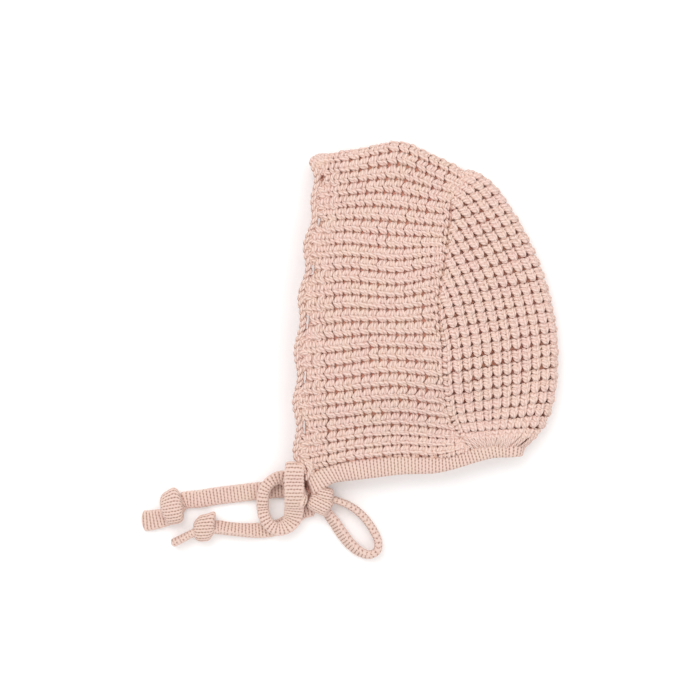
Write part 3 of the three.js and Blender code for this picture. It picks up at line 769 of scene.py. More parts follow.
class Weave:
    """Gathers rings of points into one mesh. One UV map holds the way along and round the yarn, the
    other how deep in the fabric each point lies, which the materials turn into painted light and shade."""

    def __init__(self):
        self.points, self.faces, self.uvs, self.shade_depths = [], [], [], []
        self.count = 0

    def loft(self, rings, u=None, v=None, depth=0.2):
        """A closed skin over rings of points, capped at both ends."""
        n, sides = rings.shape[:2]
        base = self.count
        self.points.append(rings.reshape(-1, 3))
        self.count += n * sides
        if u is None:
            u = way_along(rings.mean(1))
        if v is None:
            v = np.arange(sides + 1)[None] / sides
        u, v, depth = (wrapped(values, n, sides) for values in (u, v, depth))
        i, j = np.meshgrid(np.arange(n - 1), np.arange(sides), indexing="ij")
        k = (j + 1) % sides
        quads = np.stack([i * sides + j, i * sides + k, (i + 1) * sides + k, (i + 1) * sides + j], -1)
        self.faces.extend((quads.reshape(-1, 4) + base).tolist())
        corners = ((i, j), (i, j + 1), (i + 1, j + 1), (i + 1, j))
        self.uvs.append(np.stack([w[c] for c in corners for w in (u, v)], -1).reshape(-1, 2))
        self.shade_depths.append(np.stack([depth[c] for c in corners], -1).ravel())
        for ring, order in ((0, -1), (n - 1, 1)):
            self.faces.append((base + ring * sides + np.arange(sides)[::order]).tolist())
            self.uvs.append(np.tile([u[ring, 0], 0.5], (sides, 1)))
            self.shade_depths.append(np.full(sides, depth[ring].mean()))

    def tube(self, line, radius, up, sides=6, out=0.001):
        """Yarn along a line of points, with up as the side that faces out of the fabric."""
        tangent = unit(np.gradient(line, axis=0))
        side = unit(np.cross(up, tangent))
        lift = np.cross(tangent, side)
        turn = 2 * pi * np.arange(sides) / sides
        radius = np.broadcast_to(radius, len(line))[:, None]
        ring = np.cos(turn)[None, :, None] * side[:, None] + np.sin(turn)[None, :, None] * lift[:, None]
        above = np.broadcast_to(out, len(line))[:, None] + radius * np.sin(turn)[None]
        # How deep each point lies, which sets its painted light and shade.
        depth = np.clip((TOP_OUT - above) / (TOP_OUT - LOW_OUT), 0, 1)
        self.loft(line[:, None] + radius[..., None] * ring, depth=depth)

    def strands(self, points, radius, normal, sides, out, where):
        """Yarn along each unbroken run of the points where it shows."""
        edges = np.flatnonzero(np.diff(np.r_[False, where, False].astype(int)))
        for first, end in zip(edges[::2], edges[1::2]):
            if end - first >= LEAST_RUN:
                part = slice(first, end)
                self.tube(points[part], radius[part], normal[part], sides, out[part])

    def lay(self, middle, u, v, out, radius, sides=6, least=0.0):
        """Yarn laid on the fabric at u and v, as far out of its middle as out says."""
        points, normal = face_of(middle, u, v)
        points = points + normal * out[:, None]
        points[:, 2] = np.maximum(points[:, 2], least)
        self.tube(points, radius, normal, sides, out)

    def piece(self, name, material, slot):
        """The mesh as an object that rides on the bonnet's one body."""
        mesh = bpy.data.meshes.new(name)
        mesh.from_pydata(np.vstack(self.points).tolist(), [], self.faces)
        uv = mesh.uv_layers.new(name="Yarn")
        uv.data.foreach_set("uv", np.vstack(self.uvs).astype(np.float32).ravel())
        # This UV map carries each point's depth for the painted light and shade.
        depth = np.concatenate(self.shade_depths)
        uv = mesh.uv_layers.new(name="Depth")
        uv.data.foreach_set("uv", np.stack([depth, depth], -1).astype(np.float32).ravel())
        mesh.materials.append(material)
        mesh.shade_smooth()
        made = bpy.data.objects.new(name, mesh)
        bpy.context.scene.collection.objects.link(made)
        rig.ride(made, "root")
        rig.slot(made, slot)
        return made


def new_material(name, roughness):
    """A material with its node tree and its shader."""
    material = bpy.data.materials.new(name)
    material.use_nodes = True
    shader = material.node_tree.nodes["Principled BSDF"]
    shader.inputs["Roughness"].default_value = roughness
    return material, material.node_tree, shader


def add(tree, kind, **settings):
    """A node of a kind, with its settings."""
    node = tree.nodes.new(kind)
    for name, value in settings.items():
        setattr(node, name, value)
    return node


def yarn_material(name, light_and_shade_tones, ply_length, ply_depth, fuzz, groove_shade):
    """Wool: plies that turn round the yarn, a soft fuzz, painted shade in the hollows between the plies, and painted
    light and shade by how deep the yarn lies.
    """
    material, tree, shader = new_material(name, 0.88)
    shader.inputs["Sheen Weight"].default_value = 0.08
    shader.inputs["Sheen Roughness"].default_value = 0.6
    link = tree.links.new
    place = add(tree, "ShaderNodeTexCoord").outputs["Object"]

    def math_of(operation, a, b=None):
        node = add(tree, "ShaderNodeMath", operation=operation)
        for socket, value in zip(node.inputs, (a, b)):
            if isinstance(value, bpy.types.NodeSocket):
                link(value, socket)
            elif value is not None:
                socket.default_value = value
        return node.outputs[0]

    def uv_parts(uv_map):
        split = add(tree, "ShaderNodeSeparateXYZ")
        link(add(tree, "ShaderNodeUVMap", uv_map=uv_map).outputs[0], split.inputs[0])
        return split.outputs

    def noise(scale, detail):
        node = add(tree, "ShaderNodeTexNoise")
        node.inputs["Scale"].default_value = scale
        node.inputs["Detail"].default_value = detail
        link(place, node.inputs["Vector"])
        return node.outputs["Fac"]

    def about_zero(value, strength):
        return math_of("MULTIPLY", math_of("SUBTRACT", value, 0.5), strength)

    way = uv_parts("Yarn")
    turns = math_of("ADD", math_of("MULTIPLY", way[0], 1 / ply_length), way[1])
    wave = math_of("ABSOLUTE", math_of("SINE", math_of("MULTIPLY", turns, 3 * pi)))
    plies = math_of("MULTIPLY", wave, ply_depth)
    bump = add(tree, "ShaderNodeBump")
    bump.inputs["Strength"].default_value = 0.8
    bump.inputs["Distance"].default_value = 1.0
    link(math_of("ADD", plies, math_of("MULTIPLY", noise(900, 3), fuzz)), bump.inputs["Height"])
    link(bump.outputs[0], shader.inputs["Normal"])
    # Painted shade in the hollows between the plies.
    ply_groove_shade = math_of("MULTIPLY", math_of("SUBTRACT", 1.0, wave), groove_shade)
    mottle = about_zero(noise(160, 4), 0.25)
    # How deep the yarn lies, plus a random mottle and the plies' painted shade, picks a colour from painted light on
    # top to painted shade deep in the holes.
    deep = math_of("ADD", math_of("ADD", uv_parts("Depth")[0], mottle), ply_groove_shade)
    ramp = add(tree, "ShaderNodeValToRGB")
    marks = ramp.color_ramp.elements
    for position in (0.35, 0.65):
        marks.new(position)
    for mark, colour in zip(marks, light_and_shade_tones):
        mark.color = (*colour, 1)
    link(deep, ramp.inputs["Fac"])
    hue = add(tree, "ShaderNodeHueSaturation")
    link(math_of("ADD", about_zero(noise(110, 2), 0.035), 0.502), hue.inputs["Hue"])
    link(ramp.outputs[0], hue.inputs["Color"])
    link(hue.outputs[0], shader.inputs["Base Color"])
    return material


def yarn(name):
    """The named yarn's material, made the first time it is asked for."""
    found = bpy.data.materials.get(name)
    if found:
        return found
    colours = bpy.context.scene.bonnet_colours
    # The lining's yarn is painted all over in the deep shade of the holes.
    if name == "inner yarn":
        light_and_shade_tones = (colours.inner,) * 4
        return yarn_material(name, light_and_shade_tones, ply_length=0.004, ply_depth=0.0002, fuzz=0.0001, groove_shade=0.0)
    # The fine yarn's colours go from painted light on its ribs' tops to painted shade in their dots.
    if name == "fine yarn":
        light_and_shade_tones = (colours.fine_lit_crest, colours.fine_yarn, colours.fine_shaded, colours.fine_deep_shade)
        return yarn_material(
            name, light_and_shade_tones, ply_length=0.0006, ply_depth=0.00003, fuzz=0.00012, groove_shade=0.0
        )
    # The chunky yarn's colours go from painted light on top to painted shade in the valleys and holes.
    light_and_shade_tones = (colours.lit_crest, colours.yarn, colours.shaded, colours.inner)
    ply_length = bpy.context.scene.bonnet_sizes.ply_length
    return yarn_material(
        name, light_and_shade_tones, ply_length=ply_length, ply_depth=0.0006, fuzz=0.00014, groove_shade=0.42
    )


# How a stitch's two strands lie at each SHARE of the way from a ridge's middle to the valley: where
# they are in stitches, how high they stand out of the fabric's middle in mm, and how thick they are.
# First the strand of the stitch, then the tucked strand above it. CLOSED_STRANDS are the tight ones
# that both panels have at the edges and the seam.
SHARE = np.array([0, 0.25, 0.5, 0.75, 1.0])
FRONT_STRANDS = (
    ((0.0, 0.20, 0.37, 0.50, 0.58), (1.5, 1.95, 1.75, 0.9, -0.1), (1.0, 1.04, 1.03, 0.89, 0.68)),
    ((0.47, 0.65, 0.78, 0.85, 0.82), (0.9, 1.45, 1.55, 1.05, 0.3), (1.0, 1.04, 1.03, 0.89, 0.68)),
)
BACK_STRANDS = (
    ((0.0, 0.25, 0.45, 0.58, 0.63), (1.5, 2.05, 1.85, 0.95, -0.1), (1.04, 1.05, 0.98, 0.80, 0.66)),
    ((0.47, 0.68, 0.81, 0.86, 0.85), (1.0, 1.6, 1.5, 0.7, 0.0), (1.04, 1.05, 0.98, 0.80, 0.66)),
)
CLOSED_STRANDS = (
    ((0.0, 0.06, 0.20, 0.33, 0.40), (0.9, 1.35, 1.4, 0.85, 0.2), (0.98, 1.0, 1.0, 0.98, 0.96)),
    ((0.5, 0.56, 0.70, 0.83, 0.90), (1.0, 1.4, 1.5, 0.95, 0.35), (0.98, 1.0, 1.0, 0.98, 0.96)),
)

# How much the unevenness pushes a stitch along and lets it slip in the valley, in stitches, how far it
# lifts it in mm, and how much it fattens it.
PUSH = 0.07
SLIP = 0.05
LIFT = 0.28
FAT = 0.08


def strand_lines(middle, stitch_to_v, ridges, stitch, shapes, tight, unevenness, radius):
    """One strand of a course, over all the ridges: its points, heights, radii and normals."""
    share = np.abs(ridges - np.round(ridges)) * 2
    window = np.cos(pi / 2 * share) ** 2
    cells = unevenness.shape[1]
    push, lift, fat = (unevenness[k][np.round(ridges).astype(int) % cells] for k in range(3))
    slip = unevenness[3][np.floor(ridges).astype(int) % cells]
    place, rise, width = (
        through(SHARE, loose, share) * (1 - tight) + through(SHARE, firm, share) * tight
        for loose, firm in zip(*shapes)
    )
    uneven = push * PUSH * window + slip * SLIP * (1 - window)
    out = (rise + lift * LIFT * window) * MM
    thick = radius * width * (1 + FAT * fat * window)
    points, normal = face_of(middle, ridges, stitch_to_v(stitch + place + uneven, ridges))
    points = points + normal * out[:, None]
    points[:, 2] = np.maximum(points[:, 2], thick * 0.97)
    return points, out, thick, normal


def bulge(ridge):
    """1 at the middle of a scallop and 0 between two."""
    return 0.5 + 0.5 * np.cos(2 * pi * (np.abs(ridge) - FIRST_SCALLOP) / SCALLOP_RIDGES)


def front_x(stitch, ridge):
    """x of a place counted in stitches along a ridge of the front panel."""
    side = np.abs(ridge)
    first = through(HOLES[:, 0], HOLES[:, 1], side)
    step = through(HOLES[:, 0], HOLES[:, 2], side)
    return first + step * (stitch - 0.2) + setback(ridge)


def knit_front(weave, low, high, per_ridge, sides, rng):
    """The front panel's strands from one ridge to another."""
    radius = bpy.context.scene.bonnet_sizes.yarn / 2
    ridges = np.linspace(low, high, int((high - low) * per_ridge) + 1)
    edge = edge_of(np.abs(ridges)) + setback(ridges)
    for stitch in range(-6, 17):
        for shapes in zip(FRONT_STRANDS, CLOSED_STRANDS):
            unevenness = rng.uniform(-1, 1, (4, 64))
            x = front_x(stitch + 0.3, ridges)
            from_seam = seam_x_at(front_at(x, ridges)[:, 1]) - x
            tight = 1 - smooth((x - edge - 0.006) / 0.004) * smooth((from_seam - 0.003) / 0.003)
            points, out, thick, normal = strand_lines(
                front_face, front_x, ridges, stitch, shapes, tight, unevenness, radius
            )
            x, y = points[:, 0], points[:, 1]
            # The stitches reach a little past the edge and the neck, and stop short of the seam.
            inside = x > edge - 0.0008 - 0.0040 * bulge(ridges)
            inside &= x < seam_x_at(y) - 0.0006
            inside &= y > neck_y(x) + PLAN_SHIFT - 0.0008
            weave.strands(points, thick, normal, sides, out, inside)


# Where the seam turns towards the crown: x and y, and the rise in y over which it gets there.
SEAM_TURN_X = 0.0123
SEAM_TURN_Y = 0.0561
SEAM_TURN_RISE = 0.017


def seam_x_at(y):
    """x of the seam at a y of the plan."""
    rows = BACK_ROWS[BACK_ROWS[:, 0] >= 0][::-1]
    low = through(rows[:, 4] + PLAN_SHIFT, rows[:, 3], y)
    past = y - SEAM_TURN_Y - PLAN_SHIFT
    crown = SEAM_TURN_X + (CROWN_SEAM - SEAM_TURN_X) * np.clip(past / SEAM_TURN_RISE, 0, 1)
    return np.where(past > 0, crown, low)


def knit_back(weave, near, per_wale, sides, rng):
    """The back panel's strands on the upper layer and over the fold, or on the under layer."""
    radius = bpy.context.scene.bonnet_sizes.yarn / 2 * 1.06
    low, high = (FOLD_END, MOST_WALES) if near else (-MOST_WALES, FOLD_END)
    wales = np.linspace(low, high, int((high - low) * per_wale) + 1)
    for row in range(FIRST_ROW - 3, LAST_ROW):
        for shapes in zip(BACK_STRANDS, CLOSED_STRANDS):
            unevenness = rng.uniform(-1, 1, (4, 64))
            x, y, _ = back_middle(wales, row - 0.3).T
            open_at_seam = smooth((x - seam_x_at(y) - 0.001) / 0.004)
            tight = 1 - open_at_seam * smooth((y - neck_y(x) - PLAN_SHIFT - 0.0030) / 0.003)
            points, out, thick, normal = strand_lines(
                back_middle, lambda v, wale: -v, wales, -row, shapes, tight, unevenness, radius
            )
            x, y = points[:, 0], points[:, 1]
            last_wale = back_row_wales(np.clip(row - 0.4, FIRST_ROW, LAST_ROW))
            inside = np.abs(wales) < last_wale + np.where(row < 1, 0.9, -0.1)
            inside &= y > neck_y(x) + PLAN_SHIFT - 0.0004
            inside &= x > seam_x_at(y) + 0.0006 - 0.003 * smooth((y - 0.054) / 0.01)
            weave.strands(points, thick, normal, sides, out, inside)


def knit_gather(weave, sign, rng):
    """The long legs that gather the back panel into the neck band."""
    t = np.linspace(0, 1, 14)
    radius = 0.00098 - 0.00028 * t
    for wale in range(0 if sign > 0 else 1, int(back_row_wales(GATHER_ROW)) + 1):
        for leg in (-0.19, 0.19):
            rows = 22.4 + rng.uniform(-0.3, 0.3) + 1.9 * t
            at = wale + leg + rng.uniform(-0.1, 0.1) * np.sin(pi * t)
            at = np.minimum(at, back_row_wales(rows) - 0.1)
            out = 0.0006 + 0.0017 * np.sin(pi * t)
            weave.lay(back_middle, at * sign, rows, out, radius, sides=7, least=radius)


def lining(weave, middle, u, v, top, low, relief):
    """A closed skin of the side of the fabric that faces inwards, with its ridges. Gives the area of its middle."""
    u, v = np.meshgrid(u, v, indexing="ij")
    points, normal = face_of(middle, u, v)
    upper = points + normal * top
    bumps = relief * (0.5 + 0.5 * np.cos(2 * pi * (u + 0.5)))
    under = points + normal * (low - bumps)[..., None]
    rings = np.concatenate([upper, under[:, ::-1]], 1)
    rings[..., 2] = np.maximum(rings[..., 2], 0.0004)
    weave.loft(rings)
    along, across = np.diff(points, axis=0)[:, :-1], np.diff(points, axis=1)[:-1]
    return np.linalg.norm(np.cross(along, across), axis=-1).sum()


class BONNET_OT_stage(bpy.types.Operator):
    """Sets the camera straight above the bonnet, with a pale floor and soft light"""

    bl_idname = "bonnet.stage"
    bl_label = "Stage"
    bl_options = {"REGISTER", "UNDO"}

    def execute(self, context):
        scene = context.scene
        camera = bpy.data.cameras.new("camera")
        camera.lens = LENS * 1000
        camera.sensor_width = SENSOR * 1000
        holder = bpy.data.objects.new("camera", camera)
        x, y, z = VIEW_MIDDLE
        holder.location = (x, y, z + VIEW_WIDTH * LENS / SENSOR)
        scene.collection.objects.link(holder)
        scene.camera = holder
        floor_mesh = bpy.data.meshes.new("floor")
        signs = ((-1, -1), (1, -1), (1, 1), (-1, 1))
        corners = [(a * FLOOR_HALF, b * FLOOR_HALF, 0) for a, b in signs]
        floor_mesh.from_pydata(corners, [], [(0, 1, 2, 3)])
        floor = bpy.data.objects.new("floor", floor_mesh)
        scene.collection.objects.link(floor)
        paint, _, shader = new_material("floor paint", 0.9)
        shader.inputs["Base Color"].default_value = (*scene.bonnet_colours.floor, 1)
        shader.inputs["Specular IOR Level"].default_value = 0.0
        shader.inputs["Emission Color"].default_value = (1, 1, 1, 1)
        shader.inputs["Emission Strength"].default_value = 0.1
        floor_mesh.materials.append(paint)
        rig.stage(floor)
        for name, place, size, power in LAMPS:
            light = bpy.data.lights.new(name, "AREA")
            light.size = size
            light.energy = power
            lamp = bpy.data.objects.new(name, light)
            lamp.location = place
            lamp.rotation_euler = (-Vector(place)).to_track_quat("-Z", "Y").to_euler()
            scene.collection.objects.link(lamp)
        world = bpy.data.worlds.new("studio")
        world.use_nodes = True
        background = world.node_tree.nodes["Background"]
        background.inputs["Color"].default_value = (1, 1, 1, 1)
        background.inputs["Strength"].default_value = 0.78
        scene.world = world
        scene.view_settings.view_transform = "Standard"
        return {"FINISHED"}


def catmull(route, per_span):
    """Points on a centripetal curve through the route, with the place of each along it."""
    p = route[:, :3]
    p = np.vstack([2 * p[0] - p[1], p, 2 * p[-1] - p[-2]])
    found, places = [], []
    for i in range(1, len(p) - 2):
        a, b, c, d = p[i - 1 : i + 3]
        t0, t1, t2 = (max(np.linalg.norm(q - s) ** 0.5, 1e-6) for q, s in ((b, a), (c, b), (d, c)))
        m1 = ((b - a) / t0 - (c - a) / (t0 + t1) + (c - b) / t1) * t1
        m2 = ((c - b) / t1 - (d - b) / (t1 + t2) + (d - c) / t2) * t1
        count = per_span + (i == len(p) - 3)
        t = np.arange(count)[:, None] / per_span
        found.append(
            b + m1 * t + (3 * (c - b) - 2 * m1 - m2) * t**2 + (2 * (b - c) + m1 + m2) * t**3
        )
        places.append(i - 1 + t[:, 0])
    return np.vstack(found), np.concatenate(places)


def tape_line(route, step):
    """A tape's centre line in even steps, with its across and up vectors and its half sizes."""
    points, places = catmull(route, 24)
    lengths = way_along(points)
    at = np.linspace(0, lengths[-1], int(lengths[-1] / step) + 1)
    line = np.stack([np.interp(at, lengths, points[:, k]) for k in range(3)], -1)
    line[:, 1] += PLAN_SHIFT
    place = np.interp(at, lengths, places)
    index = np.arange(len(route))
    roll = np.radians(np.interp(place, index, route[:, 3]))
    wide = np.interp(place, index, route[:, 4])
    tangent = unit(np.gradient(line, axis=0))
    side = np.zeros_like(line)
    last = np.array([0.0, 1.0, 0.0])
    for i, t in enumerate(tangent):
        flat = np.array([-t[1], t[0], 0.0])
        if np.linalg.norm(flat) > 0.35:
            last = flat / np.linalg.norm(flat)
        last = unit(last - t * (last @ t))
        side[i] = last
    up = np.cross(tangent, side)
    across = side * np.cos(roll)[:, None] + up * np.sin(roll)[:, None]
    lift = up * np.cos(roll)[:, None] - side * np.sin(roll)[:, None]
    return line, at, across, lift, wide / 2, TAPE_WIDTH * TAPE_THICK / wide / 2


# How deep the fine ribs are, how far their valleys sway, and how far apart sway and dots repeat.
RIB_DEPTH = 0.00065
RIB_SWAY = 0.00009
SWAY_PITCH = 0.0032
DOT_PITCH = 0.0016

# The rings of points to a rib of a tape and of the neck band, and the least height of a point.
TAPE_RINGS = 8
BAND_RINGS = 7
LEAST_Z = 0.0001


def rib_relief(along, across, pitch):
    """How deep a fine rib's surface lies, 0 on the crests and 1 at the dots in the valleys."""
    sway = RIB_SWAY * np.cos(2 * pi * across / SWAY_PITCH + pi * np.round(along / pitch))
    valley = 1 - np.abs(np.sin(pi * (along + sway) / pitch)) ** 0.85
    dots = 0.5 + 0.5 * np.cos(2 * pi * (across / DOT_PITCH + 0.37 * np.round(along / pitch)))
    return valley * (0.4 + 0.6 * dots)


def rib_shade(depth):
    """How dark the fine yarn's painted shade is at a depth of the ribs."""
    return 0.08 + depth * 1.2


def knit_tape(weave, route, pitch, edge_pitch):
    """A finely ribbed tape along a route, with its narrow sides' ribs at a pitch of their own."""
    line, at, across, lift, half_wide, half_thick = tape_line(route, pitch / TAPE_RINGS)
    sides = 56
    dense = 2 * pi * np.arange(4001) / 4000
    c, s = np.cos(dense), np.sin(dense)
    outline = np.stack([squarish(c, 0.62), squarish(s, 0.75)], -1)
    reach = way_along(outline * (TAPE_WIDTH, TAPE_THICK))
    even = np.arange(sides) / sides * reach[-1]
    edge_x, edge_z = (np.interp(even, reach, outline[:, k]) for k in range(2))
    c, s = (np.interp(even, reach, w) for w in (c, s))
    place = edge_x[None] * half_wide[:, None]
    high = edge_z[None] * half_thick[:, None]
    # The ribs of the wide faces fade into those of the narrow sides.
    face = rib_relief(at[:, None], place, pitch)
    side = rib_relief(at[:, None] + np.abs(high) * 0.5, high, edge_pitch)
    side = side * (0.25 + 0.75 * np.exp(-((high / 0.0011) ** 2)))
    on_side = smooth((np.abs(edge_x) - 0.82) / 0.12)[None]
    rim = smooth((1 - np.abs(edge_x)) / 0.22)[None]
    depth = face * (1 - on_side) * (0.35 + 0.65 * rim) + side * on_side
    ends = np.minimum(at, at[-1] - at)
    close = np.sqrt(np.clip(ends / 0.0012, 0.06, 1))[:, None]
    x = place * close - depth * RIB_DEPTH * c[None]
    z = high * close - depth * RIB_DEPTH * s[None]
    rings = line[:, None] + across[:, None] * x[..., None] + lift[:, None] * z[..., None]
    rings[..., 2] = np.maximum(rings[..., 2], LEAST_Z)
    weave.loft(rings, u=at, v=place, depth=rib_shade(depth))
    return line, at[-1]


def knit_lump(weave, place, pulls, pitch):
    """A wrapped knot: fine ribs that run along its own axis, round a soft lump."""
    x, y, z, half_x, half_y, half_z, turn = place
    rings_n, sides = 60, 240
    theta = 2 * pi * np.arange(sides) / sides
    u = np.sin(np.linspace(-pi / 2, pi / 2, rings_n))
    body = np.clip(1 - np.abs(u) ** 4, 0, 1) ** (1 / 3)
    body[0] = body[-1] = 0.05
    square_y = squarish(np.cos(theta), 0.8)
    square_z = squarish(np.sin(theta), 0.8)
    steps = np.hypot(np.diff(square_y, append=1.0) * half_y, np.diff(square_z, append=0.0) * half_z)
    around = np.r_[0, np.cumsum(steps)]
    count = max(6, round(around[-1] / pitch))
    around *= count * pitch / around[-1]
    depth = rib_relief(around[None, :-1], u[:, None] * half_x, pitch)
    local_x = np.broadcast_to(u[:, None] * half_x, (rings_n, sides))
    local_y = square_y[None] * body[:, None] * (half_y - depth * RIB_DEPTH)
    local_z = square_z[None] * body[:, None] * (half_z - depth * RIB_DEPTH)
    across, up = local_x / half_x, local_y / half_y
    for at_x, at_y, pull_x, pull_y, reach in pulls:
        near = np.exp(-((across - at_x) ** 2 + (up - at_y) ** 2) / reach**2)
        local_x, local_y = local_x + pull_x * near, local_y + pull_y * near
    c, s = np.cos(np.radians(turn)), np.sin(np.radians(turn))
    rings = np.stack(
        [x + local_x * c - local_y * s, y + PLAN_SHIFT + local_x * s + local_y * c, z + local_z], -1
    )
    weave.loft(rings, u=around[None], v=u * half_x, depth=rib_shade(depth))


def hidden_strands(weave):
    """The strands that are seen deep between the left loop and the bow's knot."""
    t = np.linspace(0, 1, 24)
    for k in range(6):
        x = -0.0634 + 0.0009 * k + 0.0012 * np.sin(pi * t * (1 + k % 2))
        y = -0.0790 + PLAN_SHIFT - 0.0004 * k - (0.0170 + 0.0006 * (k % 3)) * t
        z = 0.0038 + 0.0009 * (k % 3) + 0.0012 * np.sin(2 * pi * t + k)
        # Their out of -0.6 mm doesn't move them; it only paints them in the dark shade of the holes.
        weave.tube(np.stack([x, y, z + 0.001], -1), 0.0011, np.array([0.0, 0.0, 1.0]), 7, -0.0006)


class BONNET_OT_ties(bpy.types.Operator):
    """Knits the two loops and the two tails of the bow, the bow's knot and the knots at the ends"""

    bl_idname = "bonnet.ties"
    bl_label = "Ties"
    bl_options = {"REGISTER", "UNDO"}

    def execute(self, context):
        pitch = context.scene.bonnet_sizes.rib_pitch
        material = yarn("fine yarn")
        knots = {}
        for name, lumps, node in (
            ("bow_wrap", BOW_LUMPS, "bow_knot"),
            ("upper_end_wrap", UPPER_LUMPS, "upper_end_knot"),
            ("lower_end_wrap", LOWER_LUMPS, "lower_end_knot"),
        ):
            weave = Weave()
            for place, pulls in lumps:
                knit_lump(weave, place, pulls, pitch)
            knots[name] = weave.piece(name, material, "tie")
            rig.replaces(knots[name], node)
        for name, route, node, far_end, goes_with, stretch in (
            ("left_loop_tape", LEFT_LOOP, "left_loop", "object", ["bow_wrap"], 1.0),
            ("right_loop_tape", RIGHT_LOOP, "right_loop", "object", [], 1.5),
            ("upper_tail_tape", UPPER_TAIL, "upper_tail", "knot", ["upper_end_wrap"], 1.0),
            ("lower_tail_tape", LOWER_TAIL, "lower_tail", "knot", ["lower_end_wrap"], 1.0),
        ):
            weave = Weave()
            line, length = knit_tape(weave, route, pitch, pitch * stretch)
            tape = weave.piece(name, material, "tie")
            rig.replaces(tape, node)
            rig.cord(
                tape,
                exit=line[0],
                length=length,
                diameter=TAPE_WIDTH,
                far_end=far_end,
                stiffness="limp",
                lay="loose",
                path=line[::4],
                with_pieces=[knots[n] for n in goes_with],
            )
        return {"FINISHED"}


class BONNET_OT_front_panel(bpy.types.Operator):
    """Knits the ribbed front panel in yarn, with the side of it that faces inwards, painted in the deep shade of the
    holes
    """

    bl_idname = "bonnet.front_panel"
    bl_label = "Front panel"
    bl_options = {"REGISTER", "UNDO"}

    def execute(self, context):
        rng = np.random.default_rng(context.scene.bonnet_sizes.seed)
        near = Weave()
        knit_front(near, FOLD_END, LAST_RIDGE, per_ridge=11, sides=7, rng=rng)
        upper = near.piece("front_stitches", yarn("chunky yarn"), "knit")
        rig.replaces(upper, "front_panel")
        under = Weave()
        knit_front(under, -LAST_RIDGE, FOLD_END, per_ridge=8, sides=6, rng=rng)
        lower = under.piece("front_under_stitches", yarn("chunky yarn"), "knit")
        inner = Weave()

        def middle(ridge, share):
            side = np.abs(ridge)
            edge = edge_of(side) + setback(ridge) + 0.001
            return front_at(edge + (seam_of(side) - 0.0005 - edge) * share, ridge)

        ridges = np.linspace(-25.5, 25.5, 205)
        shares = np.linspace(0, 1, 24)
        area = lining(inner, middle, ridges, shares, top=0.0002, low=-0.0018, relief=0.0007)
        # The fabric's inward side, painted all over in the deep shade that shows through the holes.
        sheet = inner.piece("front_inner_side", yarn("inner yarn"), "knit")
        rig.sheet(sheet, flat=FRONT_CUT, held="folded", area=area, with_pieces=[upper, lower])
        return {"FINISHED"}


class BONNET_OT_back_panel(bpy.types.Operator):
    """Knits the domed back panel in yarn, with the side of it that faces inwards, painted in the deep shade of the
    holes
    """

    bl_idname = "bonnet.back_panel"
    bl_label = "Back panel"
    bl_options = {"REGISTER", "UNDO"}

    def execute(self, context):
        rng = np.random.default_rng(context.scene.bonnet_sizes.seed + 1)
        near = Weave()
        knit_back(near, True, per_wale=11, sides=7, rng=rng)
        knit_gather(near, 1, rng)
        upper = near.piece("back_stitches", yarn("chunky yarn"), "knit")
        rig.replaces(upper, "back_panel")
        under = Weave()
        knit_back(under, False, per_wale=8, sides=6, rng=rng)
        knit_gather(under, -1, rng)
        lower = under.piece("back_under_stitches", yarn("chunky yarn"), "knit")
        inner = Weave()

        def middle(share, row):
            return back_middle(share * (back_row_wales(row) - 0.1), row)

        shares = np.linspace(-1, 1, 161)
        rows = np.linspace(FIRST_ROW, LAST_ROW, 57)
        area = lining(inner, middle, shares, rows, top=-0.0004, low=-0.0018, relief=0.0004)
        # The fabric's inward side, painted all over in the deep shade that shows through the holes.
        sheet = inner.piece("back_inner_side", yarn("inner yarn"), "knit")
        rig.sheet(sheet, flat=BACK_CUT, held="folded", area=area, with_pieces=[upper, lower])
        return {"FINISHED"}


class BONNET_OT_neck_band(bpy.types.Operator):
    """Knits the finely ribbed neck band"""

    bl_idname = "bonnet.neck_band"
    bl_label = "Neck band"
    bl_options = {"REGISTER", "UNDO"}

    def execute(self, context):
        pitch = context.scene.bonnet_sizes.rib_pitch
        lines = np.linspace(-len(BAND_LINES), len(BAND_LINES), 1200)
        along = band_middle(lines, 0.5)
        lengths = way_along(along)
        at = np.linspace(0, lengths[-1], int(lengths[-1] / pitch * BAND_RINGS) + 1)
        line = np.interp(at, lengths, lines)
        across = np.linspace(0, 1, 22)
        u, v = np.meshgrid(line, across, indexing="ij")
        points, normal = face_of(band_middle, u, v)
        width = np.linalg.norm(points[:, -1] - points[:, 0], axis=1)[:, None]
        edge = np.clip(np.minimum(v, 1 - v) * width / 0.0018, 0, 1)
        thick = BAND / 2 * np.sqrt(1 - (1 - edge) ** 2)
        depth = rib_relief(at[:, None], v * width, pitch)
        close = np.sqrt(np.clip(np.minimum(at, at[-1] - at) / 0.0018, 0.04, 1))[:, None]
        half = np.maximum((thick - depth * RIB_DEPTH) * close, 0.0001)[..., None]
        rings = np.concatenate([points + normal * half, (points - normal * half)[:, ::-1]], 1)
        rings[..., 2] = np.maximum(rings[..., 2], LEAST_Z)
        both = np.concatenate([depth, depth[:, ::-1]], 1)
        weave = Weave()
        weave.loft(rings, u=at, v=np.concatenate([v, v[:, ::-1]], 1), depth=rib_shade(both))
        band = weave.piece("neck_rib", yarn("fine yarn"), "band")
        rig.replaces(band, "neck_band")
        return {"FINISHED"}


def rope(weave, middle, along, across, out, radius, turn_length, twist):
    """Two strands that turn round each other along a line of the fabric."""
    points, normal = face_of(middle, along, across)
    points = points + normal * out
    tangent = unit(np.gradient(points, axis=0))
    side = np.cross(normal, tangent)
    at = way_along(points)
    for strand in range(2):
        angle = 2 * pi * at / turn_length + pi * strand
        line = points + (side * np.cos(angle)[:, None] + normal * np.sin(angle)[:, None]) * twist
        line[:, 2] = np.maximum(line[:, 2], radius)
        # The strand's height in the twist sets its painted light and shade.
        weave.tube(line, radius, normal, out=0.0009 + np.sin(angle) * twist)


